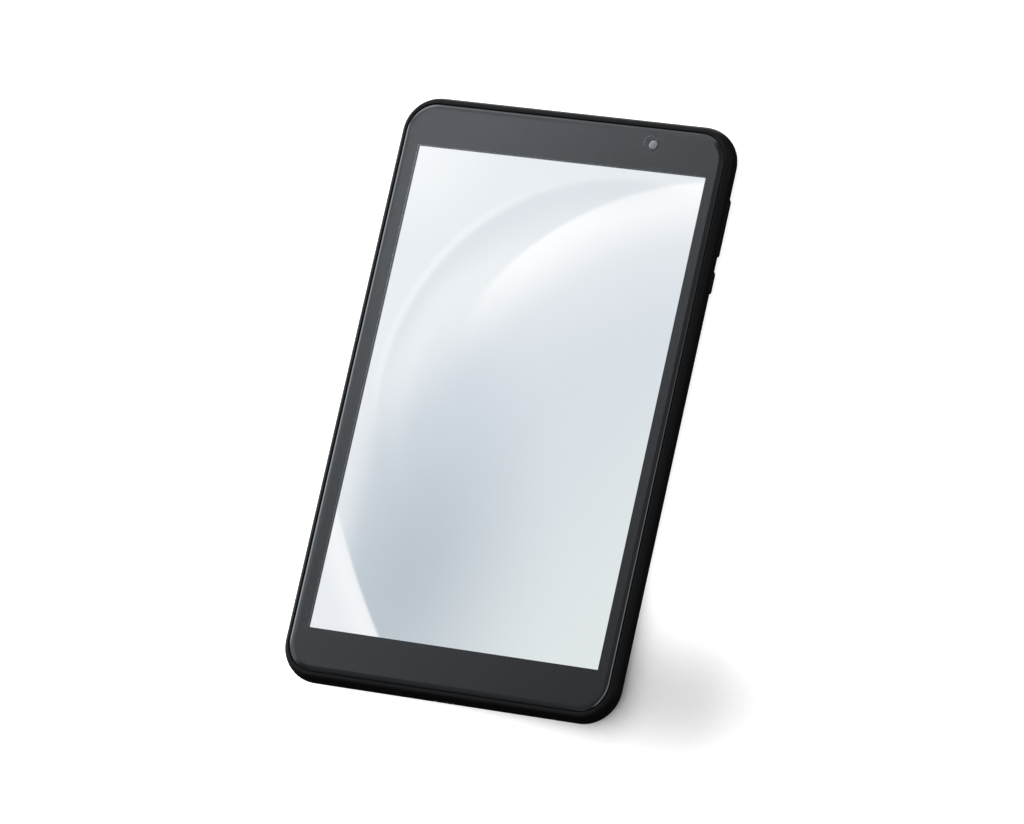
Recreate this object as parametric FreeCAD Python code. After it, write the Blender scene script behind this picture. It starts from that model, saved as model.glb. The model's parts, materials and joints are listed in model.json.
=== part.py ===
import FreeCAD, Part
import math
import os
from FreeCAD import Vector

# Eight-inch tablet computer lying on its back, in millimetres.
# Origin: centre of the back face. +X is the side with the keys, +Y the end with the
# front camera, +Z out of the screen.

# ---- Casing ------------------------------------------------------------------------------
WIDTH = 125.0
LENGTH = 209.0
CORNER = 13.0              # plan radius of the casing at its widest line
HALF_X = WIDTH / 2
HALF_Y = LENGTH / 2
Z_WIDEST = 3.7             # height of the widest line
Z_SEAM = 6.2               # parting line between rear cover and front frame
SEAM_GAP = 0.14
Z_RIM = 8.25               # top of the frame's rim
BACK_EDGE = (5.0, 3.0)     # run inward and side radius of the back's rounded edge
RIM_EDGE = (2.35, 7.0)     # the same for the front shoulder
WALL = 1.3
FLOOR = 1.2                # rear cover's inner face
CAVITY_EDGE = (2.6, 1.0)   # run and side radius of the cavity's lower edge
Z_CAVITY_SIDE = 2.5        # where the cavity's wall becomes upright
RIB = 0.8                  # thickness of the rear cover's ribs
ROOT = 0.05                # how far ribs and catches reach into what carries them
RIB_HEIGHT = 0.5
BOARD_RIB_HEIGHT = 0.9
BATTERY_RIB_HEIGHT = 2.4
BATTERY_RIB_X = 52.5
CATCH_SIDE_Y = (-80.0, -45.0, -10.0, 25.0)
CATCH_TOP_X = (-15.0, 12.0)
CATCH_LENGTH = 6.0
CATCH_REACH = 0.35
CATCH_CLEARANCE = 0.15
Z_CATCH = (4.95, 5.45)

# ---- Display stack, from the front down --------------------------------------------------
Z_GLASS = (7.7, 8.6)
GLASS_HALF_X = 59.6
GLASS_HALF_Y = 101.25
GLASS_CORNER = 10.2
GLASS_EDGE = (1.8, 0.35)
Z_GLASS_SIDE = 8.0         # where the glass edge starts to curve
GLASS_GAP = 0.4            # groove between glass and rim
Z_LEDGE = 7.5              # ledge that carries the glass
Z_BOND = 7.6               # front of the adhesive and the sensor; the glass's print lies on it
ADHESIVE_INSET = 0.3
BOND_WINDOW_X = 57.5       # opening in the adhesive that the touch sensor fills
BOND_WINDOW_Y = (-96.0, 91.0)
BOND_GAP = 0.4             # gap between the sensor's ends and the opening
LCD_OPENING_X = 57.6
LCD_OPENING_Y = (-95.2, 90.0)
TRAY_X = 57.3
TRAY_Y = (-93.4, 89.6)
Z_TRAY = (5.25, 6.9)
SHEET = 0.2                # pressed sheet metal
CELL_X = 56.9
CELL_Y = (-93.0, 89.2)
Z_CELL = (6.35, 7.05)
Z_CELL_STEP = 6.7          # joint between the cell's two glasses
Z_SCREEN = 7.1             # lit surface
ACTIVE_HALF_X = 53.85
ACTIVE_HALF_Y = 86.15
POLARISER_MARGIN = 1.35
CELL_LEDGE_Y = -89.6       # lower edge of the shorter front glass of the cell
FILM_X = 56.8
FILM_Y = (-91.5, 89.1)
FILM = 0.06
FILM_PITCH = 0.075
Z_REFLECTOR = (5.46, 5.56)
Z_GUIDE = (5.58, 6.08)
Z_FILMS = 6.1              # back of the rearmost film
LAMP_COUNT = 24
LAMP_SPAN = 101.2          # first lamp to last
LAMP = (2.8, 0.9)
Z_LAMP_TOP = 6.05

# ---- Frame and plate ---------------------------------------------------------------------
SKIRT_OUT = 1.4            # skirt of the front frame, measured in from the widest line
SKIRT_IN = 2.4
Z_SKIRT = 4.6
FRAME_WALL = 1.35          # wall that the frame's pockets leave standing
Z_PLATE = (4.9, 5.2)
PLATE_X = 58.6
PLATE_Y = (-92.5, 89.4)
PLATE_HOLE_R = 2.0
PLATE_HOLE_PITCH = 22.0

# ---- Boards ------------------------------------------------------------------------------
Z_BOARD = (2.3, 3.1)
Z_CHIPS = 4.6              # top of the shields and connectors
FLEX = 0.12
BOARD_SCREWS = ((-53.0, 58.4), (52.0, 58.4), (-54.0, 84.5), (53.0, 85.5), (-20.0, 97.5), (18.0, 97.5))
SUB_BOARD_SCREWS = ((-17.0, -81.0), (17.0, -81.0), (-17.0, -98.0), (17.0, -98.0))
SCREW_R = 0.62
SCREW_HOLE_R = 0.7
SCREW_HEAD = (1.25, 0.5)   # radius and height
SCREW_RECESS = (1.3, 0.3, 0.25)  # length, width and depth of each stroke of the cross
SCREW_END_GAP = 0.25
STANDOFF_R = 1.6
VENT_R = 0.4               # holes in the shields' roofs
VENT_PITCH = 2.5
VENT_INSET = 2.0

# ---- Keys on the +X side -----------------------------------------------------------------
KEY_HEIGHT = 2.3
KEY_PROUD = 0.5
KEY_GAP = 0.12
FLANGE_LIP = 0.3           # flange's reach beyond the key above and below
POWER_Y = (47.0, 54.8)
VOLUME_Y = (60.0, 80.4)
X_FLANGE = (60.25, 60.85)
X_SWITCH = (58.6, 59.5)
X_ROCKING_AXIS = 60.55     # upright axis of the volume rocker, in the middle of its flange
FULCRUM_R = 0.55
VOLUME_SWITCH_OFFSET = 7.0
KEY_EDGE_R = 0.35
FLANGE_END = 0.7           # flange's reach beyond the key at each end
PRESSER_R = 0.8
PRESSER_GAP = 0.36         # free travel between presser and switch
DOME_R = 1.15
DOME_HEIGHT = 0.35
SWITCH_WIDTH = 4.0

# ---- Ports -------------------------------------------------------------------------------
JACK_X = -40.0
JACK_BORE_R = 1.8
JACK_WIDTH = 6.4
JACK_Y = (89.85, 102.15)
JACK_END_WALL = 0.5
Z_JACK = (1.55, 6.0)
JACK_SEAT = 4.0            # half width of the cover's pad in front of the jack
JACK_TERMINAL = (1.8, 0.8, 0.25)
USB_OUTER = (8.94, 3.16)
USB_WALL = 0.3
USB_Y = (-104.3, -96.95)
USB_GAP = 0.1
USB_FOOT = (1.6, 1.2, 0.3)
TONGUE_HALF = (3.345, 0.35)
TONGUE_Y = (-103.1, -98.8)
CARRIER_FIT = 0.02
MIC_X = 12.0
MIC_HOLE_R = 0.5
MIC_DUCT_R = 0.4
Z_MIC_HOLE = 3.55
GRILLE_X = 36.0            # centre of each speaker grille
GRILLE_PITCH = 2.3
GRILLE_SLOT = (1.6, 1.0)
GRILLE_Z = 3.4

# ---- Cameras -----------------------------------------------------------------------------
FRONT_CAMERA = (31.8, 95.85)
FRONT_BODY = 6.6           # width of the square body
FRONT_BARREL_R = 2.7
FRONT_BORE_R = 2.0
FRONT_LENS_R = 1.95
Z_FRONT_BODY = (3.3, 5.9)
Z_FRONT_BARREL = 7.35
LENS_THICKNESS = 0.4
Z_FRONT_LENS = (6.45, 6.45 + LENS_THICKNESS)
FRONT_WINDOW_R = 3.0       # hole in the frame over the camera
REAR_CAMERA = (47.0, 94.0)
REAR_BODY = 8.2
REAR_BARREL_R = 3.0
REAR_LENS_R = 1.65
REAR_BORE_R = 1.7
Z_REAR_BODY = (1.9, 5.9)
Z_REAR_BARREL = 0.95
Z_REAR_LENS = 1.5          # root of the lens, which domes towards the back
RING_R = (3.5, 4.42)
RING_SEAT_R = 4.5
Z_RING = (0.04, 0.8)
WINDOW_R = 3.48
Z_WINDOW = (0.14, 0.79)

# ---- Memory-card tray on the -X side -----------------------------------------------------
DOOR_Y = (62.6, 79.6)
TRAY_CARD_Y = (65.9, 78.3)
TRAY_CARD_X = (-61.3, -41.9)
TRAY_CARD_Z = (3.35, 4.25)
ROD_Y = 63.9
TRAY_EDGE = 0.8            # how far the tray's frame reaches into the door
POCKET_X = -50.7           # centre of the card's pocket
POCKET = (15.4, 11.2)
POCKET_LEDGE = 1.0
POCKET_FLOOR = 0.2
ROD_X = (-61.0, -40.5)
ROD_HALF = 0.4
ROD_Z = (3.4, 4.2)
LEVER_Z = (3.45, 4.05)
PINHOLE_R = 0.45
LEVER_PIVOT = (-39.6, 69.0)
LEVER_PIN_R = 0.5
LEVER_HUB_R = 1.1
LEVER_CLEARANCE = 0.05

# ---- Battery -----------------------------------------------------------------------------
BATTERY_X = 48.0
BATTERY_Y = (-60.0, 50.0)
Z_BATTERY = (1.55, 4.6)


# ---- Helpers -----------------------------------------------------------------------------
def box(x, y, z):
    """Block between two limits on each axis."""
    return Part.makeBox(x[1] - x[0], y[1] - y[0], z[1] - z[0], Vector(x[0], y[0], z[0]))


def block(x, y, size_x, size_y, z):
    """Block centred at x, y."""
    return box((x - size_x / 2, x + size_x / 2), (y - size_y / 2, y + size_y / 2), z)


def plate(x, y, z, radius):
    """Flat plate with rounded corners in plan."""
    slab = box(x, y, z)
    upright = [e for e in slab.Edges if abs(e.Vertexes[0].Z - e.Vertexes[1].Z) > 0.001]
    return slab.makeFillet(radius, upright)


def centred_plate(half_x, half_y, z, radius):
    return plate((-half_x, half_x), (-half_y, half_y), z, radius)


def disc(x, y, radius, z):
    """Upright cylinder."""
    return Part.makeCylinder(radius, z[1] - z[0], Vector(x, y, z[0]))


def bar_x(y, z, radius, x):
    """Cylinder along X."""
    return Part.makeCylinder(radius, x[1] - x[0], Vector(x[0], y, z), Vector(1, 0, 0))


def bar_y(x, z, radius, y):
    """Cylinder along Y."""
    return Part.makeCylinder(radius, y[1] - y[0], Vector(x, y[0], z), Vector(0, 1, 0))


def obround(length, height, depth):
    """Bar along +Z whose section is a slot shape, long along X."""
    half = (length - height) / 2
    r = height / 2
    corners = [Vector(-half, -r, 0), Vector(half, -r, 0), Vector(half, r, 0), Vector(-half, r, 0)]
    edges = [
        Part.LineSegment(corners[0], corners[1]).toShape(),
        Part.Arc(corners[1], Vector(half + r, 0, 0), corners[2]).toShape(),
        Part.LineSegment(corners[2], corners[3]).toShape(),
        Part.Arc(corners[3], Vector(-half - r, 0, 0), corners[0]).toShape(),
    ]
    return Part.Face(Part.Wire(edges)).extrude(Vector(0, 0, depth))


def obround_x(y, z, length, height, x):
    """Slot-shaped bar along X, long along Y."""
    bar = obround(length, height, x[1] - x[0])
    bar.rotate(Vector(0, 0, 0), Vector(1, 1, 1), 120)
    bar.translate(Vector(x[0], y, z))
    return bar


def obround_y(x, z, length, height, y):
    """Slot-shaped bar along Y, long along X."""
    bar = obround(length, height, y[1] - y[0])
    bar.rotate(Vector(0, 0, 0), Vector(1, 0, 0), -90)
    bar.translate(Vector(x, y[0], z))
    return bar


def fuse(shapes):
    """One solid out of touching or overlapping ones."""
    return shapes[0].multiFuse(shapes[1:]).removeSplitter()


def round_face_edges(shape, radius, wanted):
    """Fillet the edges whose every vertex satisfies wanted."""
    edges = [e for e in shape.Edges if all(wanted(v) for v in e.Vertexes)]
    return shape.makeFillet(radius, edges)


def arc_edge(centre, start, end):
    """Shorter arc about centre."""
    spread = (start - centre) + (end - centre)
    middle = centre + spread.normalize() * (start - centre).Length
    return Part.Arc(start, middle, end).toShape()


def shoulder(run, rise, side_radius, z, upward):
    """Two tangent arcs from the widest line at height z to a flat, run inward and rise away."""
    flat_radius = (run ** 2 + rise ** 2 - 2 * run * side_radius) / (2 * (rise - side_radius))
    way = 1 if upward else -1
    widest = Vector(0, 0, z)
    flat = Vector(-run, 0, z + way * rise)
    side_centre = Vector(-side_radius, 0, z)
    flat_centre = Vector(-run, 0, z + way * (rise - flat_radius))
    if side_radius < flat_radius:
        small, large, small_radius = side_centre, flat_centre, side_radius
    else:
        small, large, small_radius = flat_centre, side_centre, flat_radius
    joint = small + (small - large).normalize() * small_radius
    return [arc_edge(side_centre, widest, joint), arc_edge(flat_centre, joint, flat)], flat


def swept_form(half_x, half_y, corner, levels, lower=None, upper=None):
    """Rounded rectangle in plan with one edge section all round.

    levels holds the heights of the lower flat, of the straight side's two ends and of the
    upper flat. lower and upper are (run, side radius) of a rounded edge, or None for square.
    """
    z_low, z_side_low, z_side_high, z_high = levels
    edges = []
    low_flat = Vector(0, 0, z_low)
    high_flat = Vector(0, 0, z_high)
    if lower:
        arcs, low_flat = shoulder(lower[0], z_side_low - z_low, lower[1], z_side_low, False)
        edges += arcs
    if upper:
        arcs, high_flat = shoulder(upper[0], z_high - z_side_high, upper[1], z_side_high, True)
        edges += arcs
    side_low = Vector(0, 0, z_side_low if lower else z_low)
    side_high = Vector(0, 0, z_side_high if upper else z_high)
    if side_high.z - side_low.z > 0.001:
        edges.append(Part.LineSegment(side_low, side_high).toShape())
    inner_low = Vector(-corner, 0, z_low)
    inner_high = Vector(-corner, 0, z_high)
    edges.append(Part.LineSegment(low_flat, inner_low).toShape())
    edges.append(Part.LineSegment(inner_low, inner_high).toShape())
    edges.append(Part.LineSegment(inner_high, high_flat).toShape())
    section = Part.Face(Part.Wire(Part.__sortEdges__(edges)))

    origin = Vector(0, 0, 0)
    up = Vector(0, 0, 1)
    reach_x = half_x - corner
    reach_y = half_y - corner
    pieces = [box((-reach_x, reach_x), (-reach_y, reach_y), (z_low, z_high))]
    quarter = section.translated(Vector(corner, 0, 0)).revolve(origin, up, 90)
    corner_signs = ((1, 1), (-1, 1), (-1, -1), (1, -1))
    for turn, (sign_x, sign_y) in enumerate(corner_signs):
        piece = quarter.copy()
        piece.rotate(origin, up, 90 * turn)
        piece.translate(Vector(sign_x * reach_x, sign_y * reach_y, 0))
        pieces.append(piece)
    for turn in range(4):
        outward = half_x if turn % 2 == 0 else half_y
        along = reach_y if turn % 2 == 0 else reach_x
        side = section.translated(Vector(outward, -along, 0)).extrude(Vector(0, 2 * along, 0))
        side.rotate(origin, up, 90 * turn)
        pieces.append(side)
    return fuse(pieces)


def bent_strip(points, bend, width, thickness):
    """Flat ribbon of the given width along straight runs joined by tangent arcs.

    The route lies in a plane parallel to Z, and the ribbon is as wide across that plane.
    """
    edges = []
    start = points[0]
    for before, point, after in zip(points, points[1:], points[2:]):
        back = (before - point).normalize()
        ahead = (after - point).normalize()
        half_angle = back.getAngle(ahead) / 2
        enter = point + back * (bend / math.tan(half_angle))
        leave = point + ahead * (bend / math.tan(half_angle))
        centre = point + (back + ahead).normalize() * (bend / math.sin(half_angle))
        edges.append(Part.LineSegment(start, enter).toShape())
        edges.append(arc_edge(centre, enter, leave))
        start = leave
    edges.append(Part.LineSegment(start, points[-1]).toShape())
    first = (points[1] - points[0]).normalize()
    second = (points[2] - points[1]).normalize()
    across = first.cross(second).normalize() * (width / 2)
    thick = first.cross(across).normalize() * (thickness / 2)
    rim = [points[0] + across + thick, points[0] + across - thick]
    rim += [points[0] - across - thick, points[0] - across + thick]
    outline = Part.makePolygon(rim + [rim[0]])
    return Part.Wire(edges).makePipeShell([outline], True, False)


def export(name, shape):
    """Write one node's STEP file."""
    shape.exportStep("parts/" + name + ".step")


def group(solids):
    """Separate solids in one node."""
    return Part.makeCompound(solids)


# ---- Casing ------------------------------------------------------------------------------
def casing_form():
    levels = (0.0, Z_WIDEST, Z_WIDEST, Z_RIM)
    return swept_form(HALF_X, HALF_Y, CORNER, levels, BACK_EDGE, RIM_EDGE)


def key_slot(limits_y, gap):
    """Slot-shaped prism through the +X wall for a key, grown by gap."""
    middle = sum(limits_y) / 2
    length = limits_y[1] - limits_y[0] + 2 * gap
    return obround_x(middle, Z_WIDEST, length, KEY_HEIGHT + 2 * gap, (HALF_X - 3, HALF_X + 2))


def door_prism(gap, x):
    middle = sum(DOOR_Y) / 2
    length = DOOR_Y[1] - DOOR_Y[0] + 2 * gap
    return obround_x(middle, Z_WIDEST, length, KEY_HEIGHT + 2 * gap, x)


def grille_holes():
    """Row of short slots in the bottom wall in front of each speaker."""
    holes = []
    for side in (-1, 1):
        for step in range(-2, 3):
            x = side * GRILLE_X + step * GRILLE_PITCH
            holes.append(obround_y(x, GRILLE_Z, *GRILLE_SLOT, (-HALF_Y - 1, -HALF_Y + 2.2)))
    return holes


def catches(grow):
    """Snap catches inside the wall, or with grow their windows in the frame's skirt."""
    z = (Z_CATCH[0] - grow, Z_CATCH[1] + grow)
    length = CATCH_LENGTH + 2 * grow
    reach = CATCH_REACH + 2 * grow
    pieces = []
    for y in CATCH_SIDE_Y:
        for side in (-1, 1):
            x = side * (HALF_X - WALL + ROOT - reach / 2)
            pieces.append(block(x, y, reach, length, z))
    for x in CATCH_TOP_X:
        y = HALF_Y - WALL + ROOT - reach / 2
        pieces.append(block(x, y, length, reach, z))
    return pieces


def rear_cover(casing):
    below_seam = Z_SEAM - SEAM_GAP / 2
    margin = 5
    over = (-HALF_Y - margin, HALF_Y + margin)
    shell = casing.cut(box((-HALF_X - margin, HALF_X + margin), over, (below_seam, Z_RIM + margin)))
    cavity = swept_form(
        HALF_X - WALL, HALF_Y - WALL, CORNER - WALL,
        (FLOOR, Z_CAVITY_SIDE, Z_RIM, Z_RIM + 1), CAVITY_EDGE, None)
    shell = shell.cut(cavity)
    root = FLOOR - ROOT
    low_rib = (root, FLOOR + RIB_HEIGHT)
    ribs = [block(0.0, -70.0, 90.0, RIB, low_rib)]
    for side in (-1, 1):
        ribs.append(block(side * 30.0, 54.0, 40.0, RIB, (root, FLOOR + BOARD_RIB_HEIGHT)))
        ribs.append(block(side * BATTERY_RIB_X, -5.0, RIB, 100.0, (root, FLOOR + BATTERY_RIB_HEIGHT)))
    camera_wall = disc(*REAR_CAMERA, RING_SEAT_R + 0.7, low_rib)
    camera_wall = camera_wall.cut(disc(*REAR_CAMERA, RING_SEAT_R - 0.1, (0, 5)))
    jack_seat = box(
        (JACK_X - JACK_SEAT, JACK_X + JACK_SEAT), (JACK_Y[1], HALF_Y - WALL + 2 * ROOT),
        (FLOOR + 0.4, below_seam))
    shell = fuse([shell, camera_wall, jack_seat] + ribs + catches(0.0))
    usb = (USB_OUTER[0] + 2 * USB_GAP, USB_OUTER[1] + 2 * USB_GAP)
    cuts = [
        key_slot(POWER_Y, KEY_GAP),
        key_slot(VOLUME_Y, KEY_GAP),
        door_prism(KEY_GAP, (-HALF_X - 1, -HALF_X + 2)),
        obround_y(0, Z_WIDEST, usb[0], usb[1], (-HALF_Y - 1, -HALF_Y + 3)),
        bar_y(JACK_X, Z_WIDEST, JACK_BORE_R + 0.3, (JACK_Y[1] - 1, HALF_Y + 1)),
        bar_y(MIC_X, Z_MIC_HOLE, MIC_HOLE_R, (-HALF_Y - 1, -HALF_Y + 3)),
        disc(*REAR_CAMERA, RING_SEAT_R, (-1, Z_RING[1])),
        disc(*REAR_CAMERA, 3.6, (-1, 2)),
    ]
    return shell.cut(cuts + grille_holes())


def front_frame(casing):
    above_seam = Z_SEAM + SEAM_GAP / 2
    top = (above_seam, Z_RIM + 1)
    over = (-HALF_Y - 5, HALF_Y + 5)
    rim = casing.common(box((-HALF_X - 5, HALF_X + 5), over, top))
    skirt = centred_plate(
        HALF_X - SKIRT_OUT, HALF_Y - SKIRT_OUT, (Z_SKIRT, above_seam + 0.3), CORNER - SKIRT_OUT)
    inside = centred_plate(
        HALF_X - SKIRT_IN, HALF_Y - SKIRT_IN, (Z_SKIRT - 1, Z_PLATE[1]), CORNER - SKIRT_IN)
    body = fuse([rim, skirt]).cut(inside)
    pocket = centred_plate(
        GLASS_HALF_X + GLASS_GAP, GLASS_HALF_Y + GLASS_GAP, (Z_LEDGE, Z_RIM + 1),
        GLASS_CORNER + GLASS_GAP)
    opening = plate(
        (-LCD_OPENING_X, LCD_OPENING_X), LCD_OPENING_Y, (Z_SKIRT - 1, Z_RIM + 1), 1.0)
    under = Z_SKIRT - 1
    key_zone = (POWER_Y[0] - 2.5, VOLUME_Y[1] + 2.5)
    jack_zone = JACK_SEAT + 0.2
    usb_zone = USB_OUTER[0] / 2 + 1.2
    cuts = [
        pocket,
        opening,
        box((HALF_X - 2.6, HALF_X - FRAME_WALL), key_zone, (under, 5.35)),
        box((JACK_X - jack_zone, JACK_X + jack_zone), (89.0, HALF_Y - FRAME_WALL), (under, above_seam)),
        box((-usb_zone, usb_zone), (-HALF_Y + FRAME_WALL, -95.5), (under, 5.6)),
        block(*REAR_CAMERA, REAR_BODY + 1.0, REAR_BODY + 1.0, (under, Z_REAR_BODY[1] + 0.2)),
        block(*FRONT_CAMERA, FRONT_BODY + 0.8, FRONT_BODY + 0.8, (under, Z_FRONT_BODY[1] + 0.3)),
        disc(*FRONT_CAMERA, FRONT_WINDOW_R, (Z_SKIRT, Z_LEDGE + 1)),
    ]
    return body.cut(cuts + catches(CATCH_CLEARANCE))


# ---- Front glass and touch sensor --------------------------------------------------------
def cover_glass():
    levels = (Z_GLASS[0], Z_GLASS[0], Z_GLASS_SIDE, Z_GLASS[1])
    return swept_form(GLASS_HALF_X, GLASS_HALF_Y, GLASS_CORNER, levels, None, GLASS_EDGE)


def glass_adhesive():
    z = (Z_LEDGE, Z_BOND)
    inset = ADHESIVE_INSET
    sheet = centred_plate(GLASS_HALF_X - inset, GLASS_HALF_Y - inset, z, GLASS_CORNER - inset)
    window = plate((-BOND_WINDOW_X, BOND_WINDOW_X), BOND_WINDOW_Y, (0, 9), 1.0)
    return sheet.cut([window, disc(*FRONT_CAMERA, FRONT_WINDOW_R + 0.2, (0, 9))])


def touch_sensor():
    half_x = BOND_WINDOW_X - 0.75 * BOND_GAP
    y = (BOND_WINDOW_Y[0] + BOND_GAP, BOND_WINDOW_Y[1] - BOND_GAP)
    return plate((-half_x, half_x), y, (Z_LEDGE, Z_BOND), 1.0)


# ---- Display module ----------------------------------------------------------------------
def lcd_gasket():
    z = (Z_CELL[1], Z_LEDGE)
    return plate((-56.8, 56.8), (-89.4, 89.1), z, 0.5).cut(plate((-55.4, 55.4), (-87.7, 87.7), z, 0.5))


def lcd_cell():
    rear_glass = plate((-CELL_X, CELL_X), CELL_Y, (Z_CELL[0], Z_CELL_STEP), 0.4)
    front_glass = plate((-CELL_X, CELL_X), (CELL_LEDGE_Y, CELL_Y[1]), (Z_CELL_STEP, Z_CELL[1]), 0.4)
    polariser = centred_plate(
        ACTIVE_HALF_X + POLARISER_MARGIN, ACTIVE_HALF_Y + POLARISER_MARGIN, (Z_CELL[1], Z_SCREEN), 0.3)
    return fuse([rear_glass, front_glass, polariser])


def optical_films():
    """Diffuser and two prism sheets."""
    sheets = []
    for index in range(3):
        low = Z_FILMS + FILM_PITCH * index
        sheets.append(plate((-FILM_X, FILM_X), (FILM_Y[0] + 0.5, FILM_Y[1]), (low, low + FILM), 0.4))
    return group(sheets)


def light_guide():
    return plate((-FILM_X, FILM_X), FILM_Y, Z_GUIDE, 0.4)


def reflector_sheet():
    return plate((-FILM_X, FILM_X), FILM_Y, Z_REFLECTOR, 0.4)


def led_strip():
    """Flexible board with a row of side-firing lamps."""
    board = box((-55.0, 55.0), (-93.1, FILM_Y[0] - 0.1), Z_REFLECTOR)
    lamps = []
    for index in range(LAMP_COUNT):
        x = LAMP_SPAN * (index / (LAMP_COUNT - 1) - 0.5)
        lamps.append(block(x, -92.1, *LAMP, (Z_REFLECTOR[1], Z_LAMP_TOP)))
    return fuse([board] + lamps)


def backlight_tray():
    outer = plate((-TRAY_X, TRAY_X), TRAY_Y, Z_TRAY, 0.8)
    inner = plate(
        (-TRAY_X + SHEET, TRAY_X - SHEET), (TRAY_Y[0] + SHEET, TRAY_Y[1] - SHEET),
        (Z_TRAY[0] + SHEET, Z_TRAY[1] + 1), 0.6)
    flex_notch = box((-20, 20), (TRAY_Y[0] - 1, TRAY_Y[0] + 1), (6.6, Z_TRAY[1] + 1))
    return outer.cut([inner, flex_notch])


def display_driver():
    return block(6.0, -90.6, 20.0, 1.2, (Z_CELL_STEP, Z_CELL_STEP + 0.25))


def display_flex():
    """Ribbon from the cell's lower ledge, round the tray, to the sub board."""
    height = Z_CHIPS + FLEX / 2
    points = [Vector(6, -91.6, 6.76), Vector(6, -94.3, 6.76), Vector(6, -94.3, height),
              Vector(6, -85.8, height)]
    return bent_strip(points, 0.5, 24.0, FLEX)


def touch_flex():
    """Ribbon from the touch sensor's lower edge to the sub board."""
    low = Z_LEDGE - FLEX / 2
    height = Z_CHIPS + FLEX / 2
    points = [Vector(-14, -92.5, low), Vector(-14, -94.9, low), Vector(-14, -94.9, height),
              Vector(-14, -85.8, height)]
    return bent_strip(points, 0.4, 8.0, FLEX)


# ---- Plate, standoffs and screws ---------------------------------------------------------
def mid_plate():
    """Pressed plate behind the display, with lightening holes."""
    sheet = plate((-PLATE_X, PLATE_X), PLATE_Y, Z_PLATE, 2.0)
    cuts = [
        box((57.9, 60.0), (POWER_Y[0] - 3, VOLUME_Y[1] + 3), (4, 6)),
        box((JACK_X - 3.6, JACK_X + 3.6), (88.8, 92.0), (4, 6)),
        box((REAR_CAMERA[0] - 4.7, REAR_CAMERA[0] + 4.7), (88.8, 92.0), (4, 6)),
    ]
    for x in (-BATTERY_RIB_X, BATTERY_RIB_X):
        for index in range(5):
            cuts.append(disc(x, -50.0 + PLATE_HOLE_PITCH * index, PLATE_HOLE_R, (4, 6)))
    for x in (-30.0, 30.0):
        cuts.append(plate((x - 9, x + 9), (-78.0, -66.0), (4, 6), 3.0))
    return sheet.cut(cuts)


def standoff_positions():
    """Screw places with the height of the face that each standoff stands on."""
    places = []
    for x, y in BOARD_SCREWS + SUB_BOARD_SCREWS:
        on_plate = PLATE_Y[0] < y < PLATE_Y[1]
        places.append((x, y, Z_PLATE[0] if on_plate else Z_PLATE[1]))
    return places


def standoffs():
    posts = []
    for x, y, top in standoff_positions():
        post = disc(x, y, STANDOFF_R, (Z_BOARD[1], top))
        posts.append(post.cut(disc(x, y, SCREW_HOLE_R, (Z_BOARD[1], top))))
    return group(posts)


def board_screws():
    """Pan-head machine screws with a cross recess."""
    screws = []
    head_r, head_height = SCREW_HEAD
    length, width, depth = SCREW_RECESS
    face = Z_BOARD[0] - head_height
    for x, y, top in standoff_positions():
        head = disc(x, y, head_r, (face, Z_BOARD[0]))
        shank = disc(x, y, SCREW_R, (Z_BOARD[0], top - SCREW_END_GAP))
        slot = block(x, y, length, width, (face, face + depth))
        cross = block(x, y, width, length, (face, face + depth))
        screws.append(fuse([head, shank]).cut([slot, cross]))
    return group(screws)


# ---- Boards and chips --------------------------------------------------------------------
def screw_holes(places):
    return [disc(x, y, SCREW_HOLE_R, (0, 6)) for x, y in places]


def main_board():
    lower = plate((-57.0, 56.0), (55.0, 88.5), Z_BOARD, 1.0)
    upper = plate((-30.0, 24.0), (84.0, 101.0), Z_BOARD, 1.0)
    jack_arm = plate((-50.0, -28.0), (84.0, 97.5), Z_BOARD, 1.0)
    jack_notch = box((JACK_X - JACK_WIDTH / 2, JACK_X + JACK_WIDTH / 2), (89.7, 104), (0, 6))
    board = fuse([lower, upper, jack_arm])
    return board.cut([jack_notch] + screw_holes(BOARD_SCREWS))


def sub_board():
    board = plate((-20.0, 20.0), (-101.0, -76.0), Z_BOARD, 1.0)
    port_notch = box((-4.6, 4.6), (-104, -96.8), (0, 6))
    return board.cut([port_notch] + screw_holes(SUB_BOARD_SCREWS))


def on_board(x, y, size_x, size_y, height):
    """Component standing on a board's front face."""
    return block(x, y, size_x, size_y, (Z_BOARD[1], Z_BOARD[1] + height))


def board_chips():
    """Working memory, storage and power management."""
    return group([
        on_board(1.5, 77.0, 11.5, 13.0, 0.9),
        on_board(1.5, 65.5, 11.5, 8.0, 0.8),
        on_board(24.0, 74.0, 6.0, 6.0, 0.7),
    ])


def shield(x, y, size_x, size_y):
    """Pressed can, open towards the board, with vent holes in its roof."""
    can = plate(
        (x - size_x / 2, x + size_x / 2), (y - size_y / 2, y + size_y / 2),
        (Z_BOARD[1], Z_CHIPS), 0.8)
    hollow = block(x, y, size_x - 2 * SHEET, size_y - 2 * SHEET, (Z_BOARD[1], Z_CHIPS - SHEET))
    vents = []
    for index in range(int((size_x - 3) / VENT_PITCH)):
        vent_x = x - size_x / 2 + VENT_INSET + VENT_PITCH * index
        vents.append(disc(vent_x, y - size_y / 2 + VENT_INSET, VENT_R, (Z_CHIPS - 1, Z_CHIPS + 1)))
    return can.cut([hollow] + vents)


CONNECTORS = {
    "battery": (13.0, 59.0, 9.0, 3.4),
    "main_flex_top": (-3.0, 58.5, 12.0, 2.8),
    "main_flex_bottom": (-3.0, -78.6, 12.0, 2.8),
    "display": (6.0, -87.0, 22.0, 2.6),
    "touch": (-14.0, -87.0, 7.6, 2.6),
    "front_camera": (31.8, 83.0, 7.0, 2.6),
    "rear_camera": (47.0, 81.5, 7.0, 2.6),
    "side_keys": (50.0, 69.0, 2.6, 7.0),
}


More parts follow.
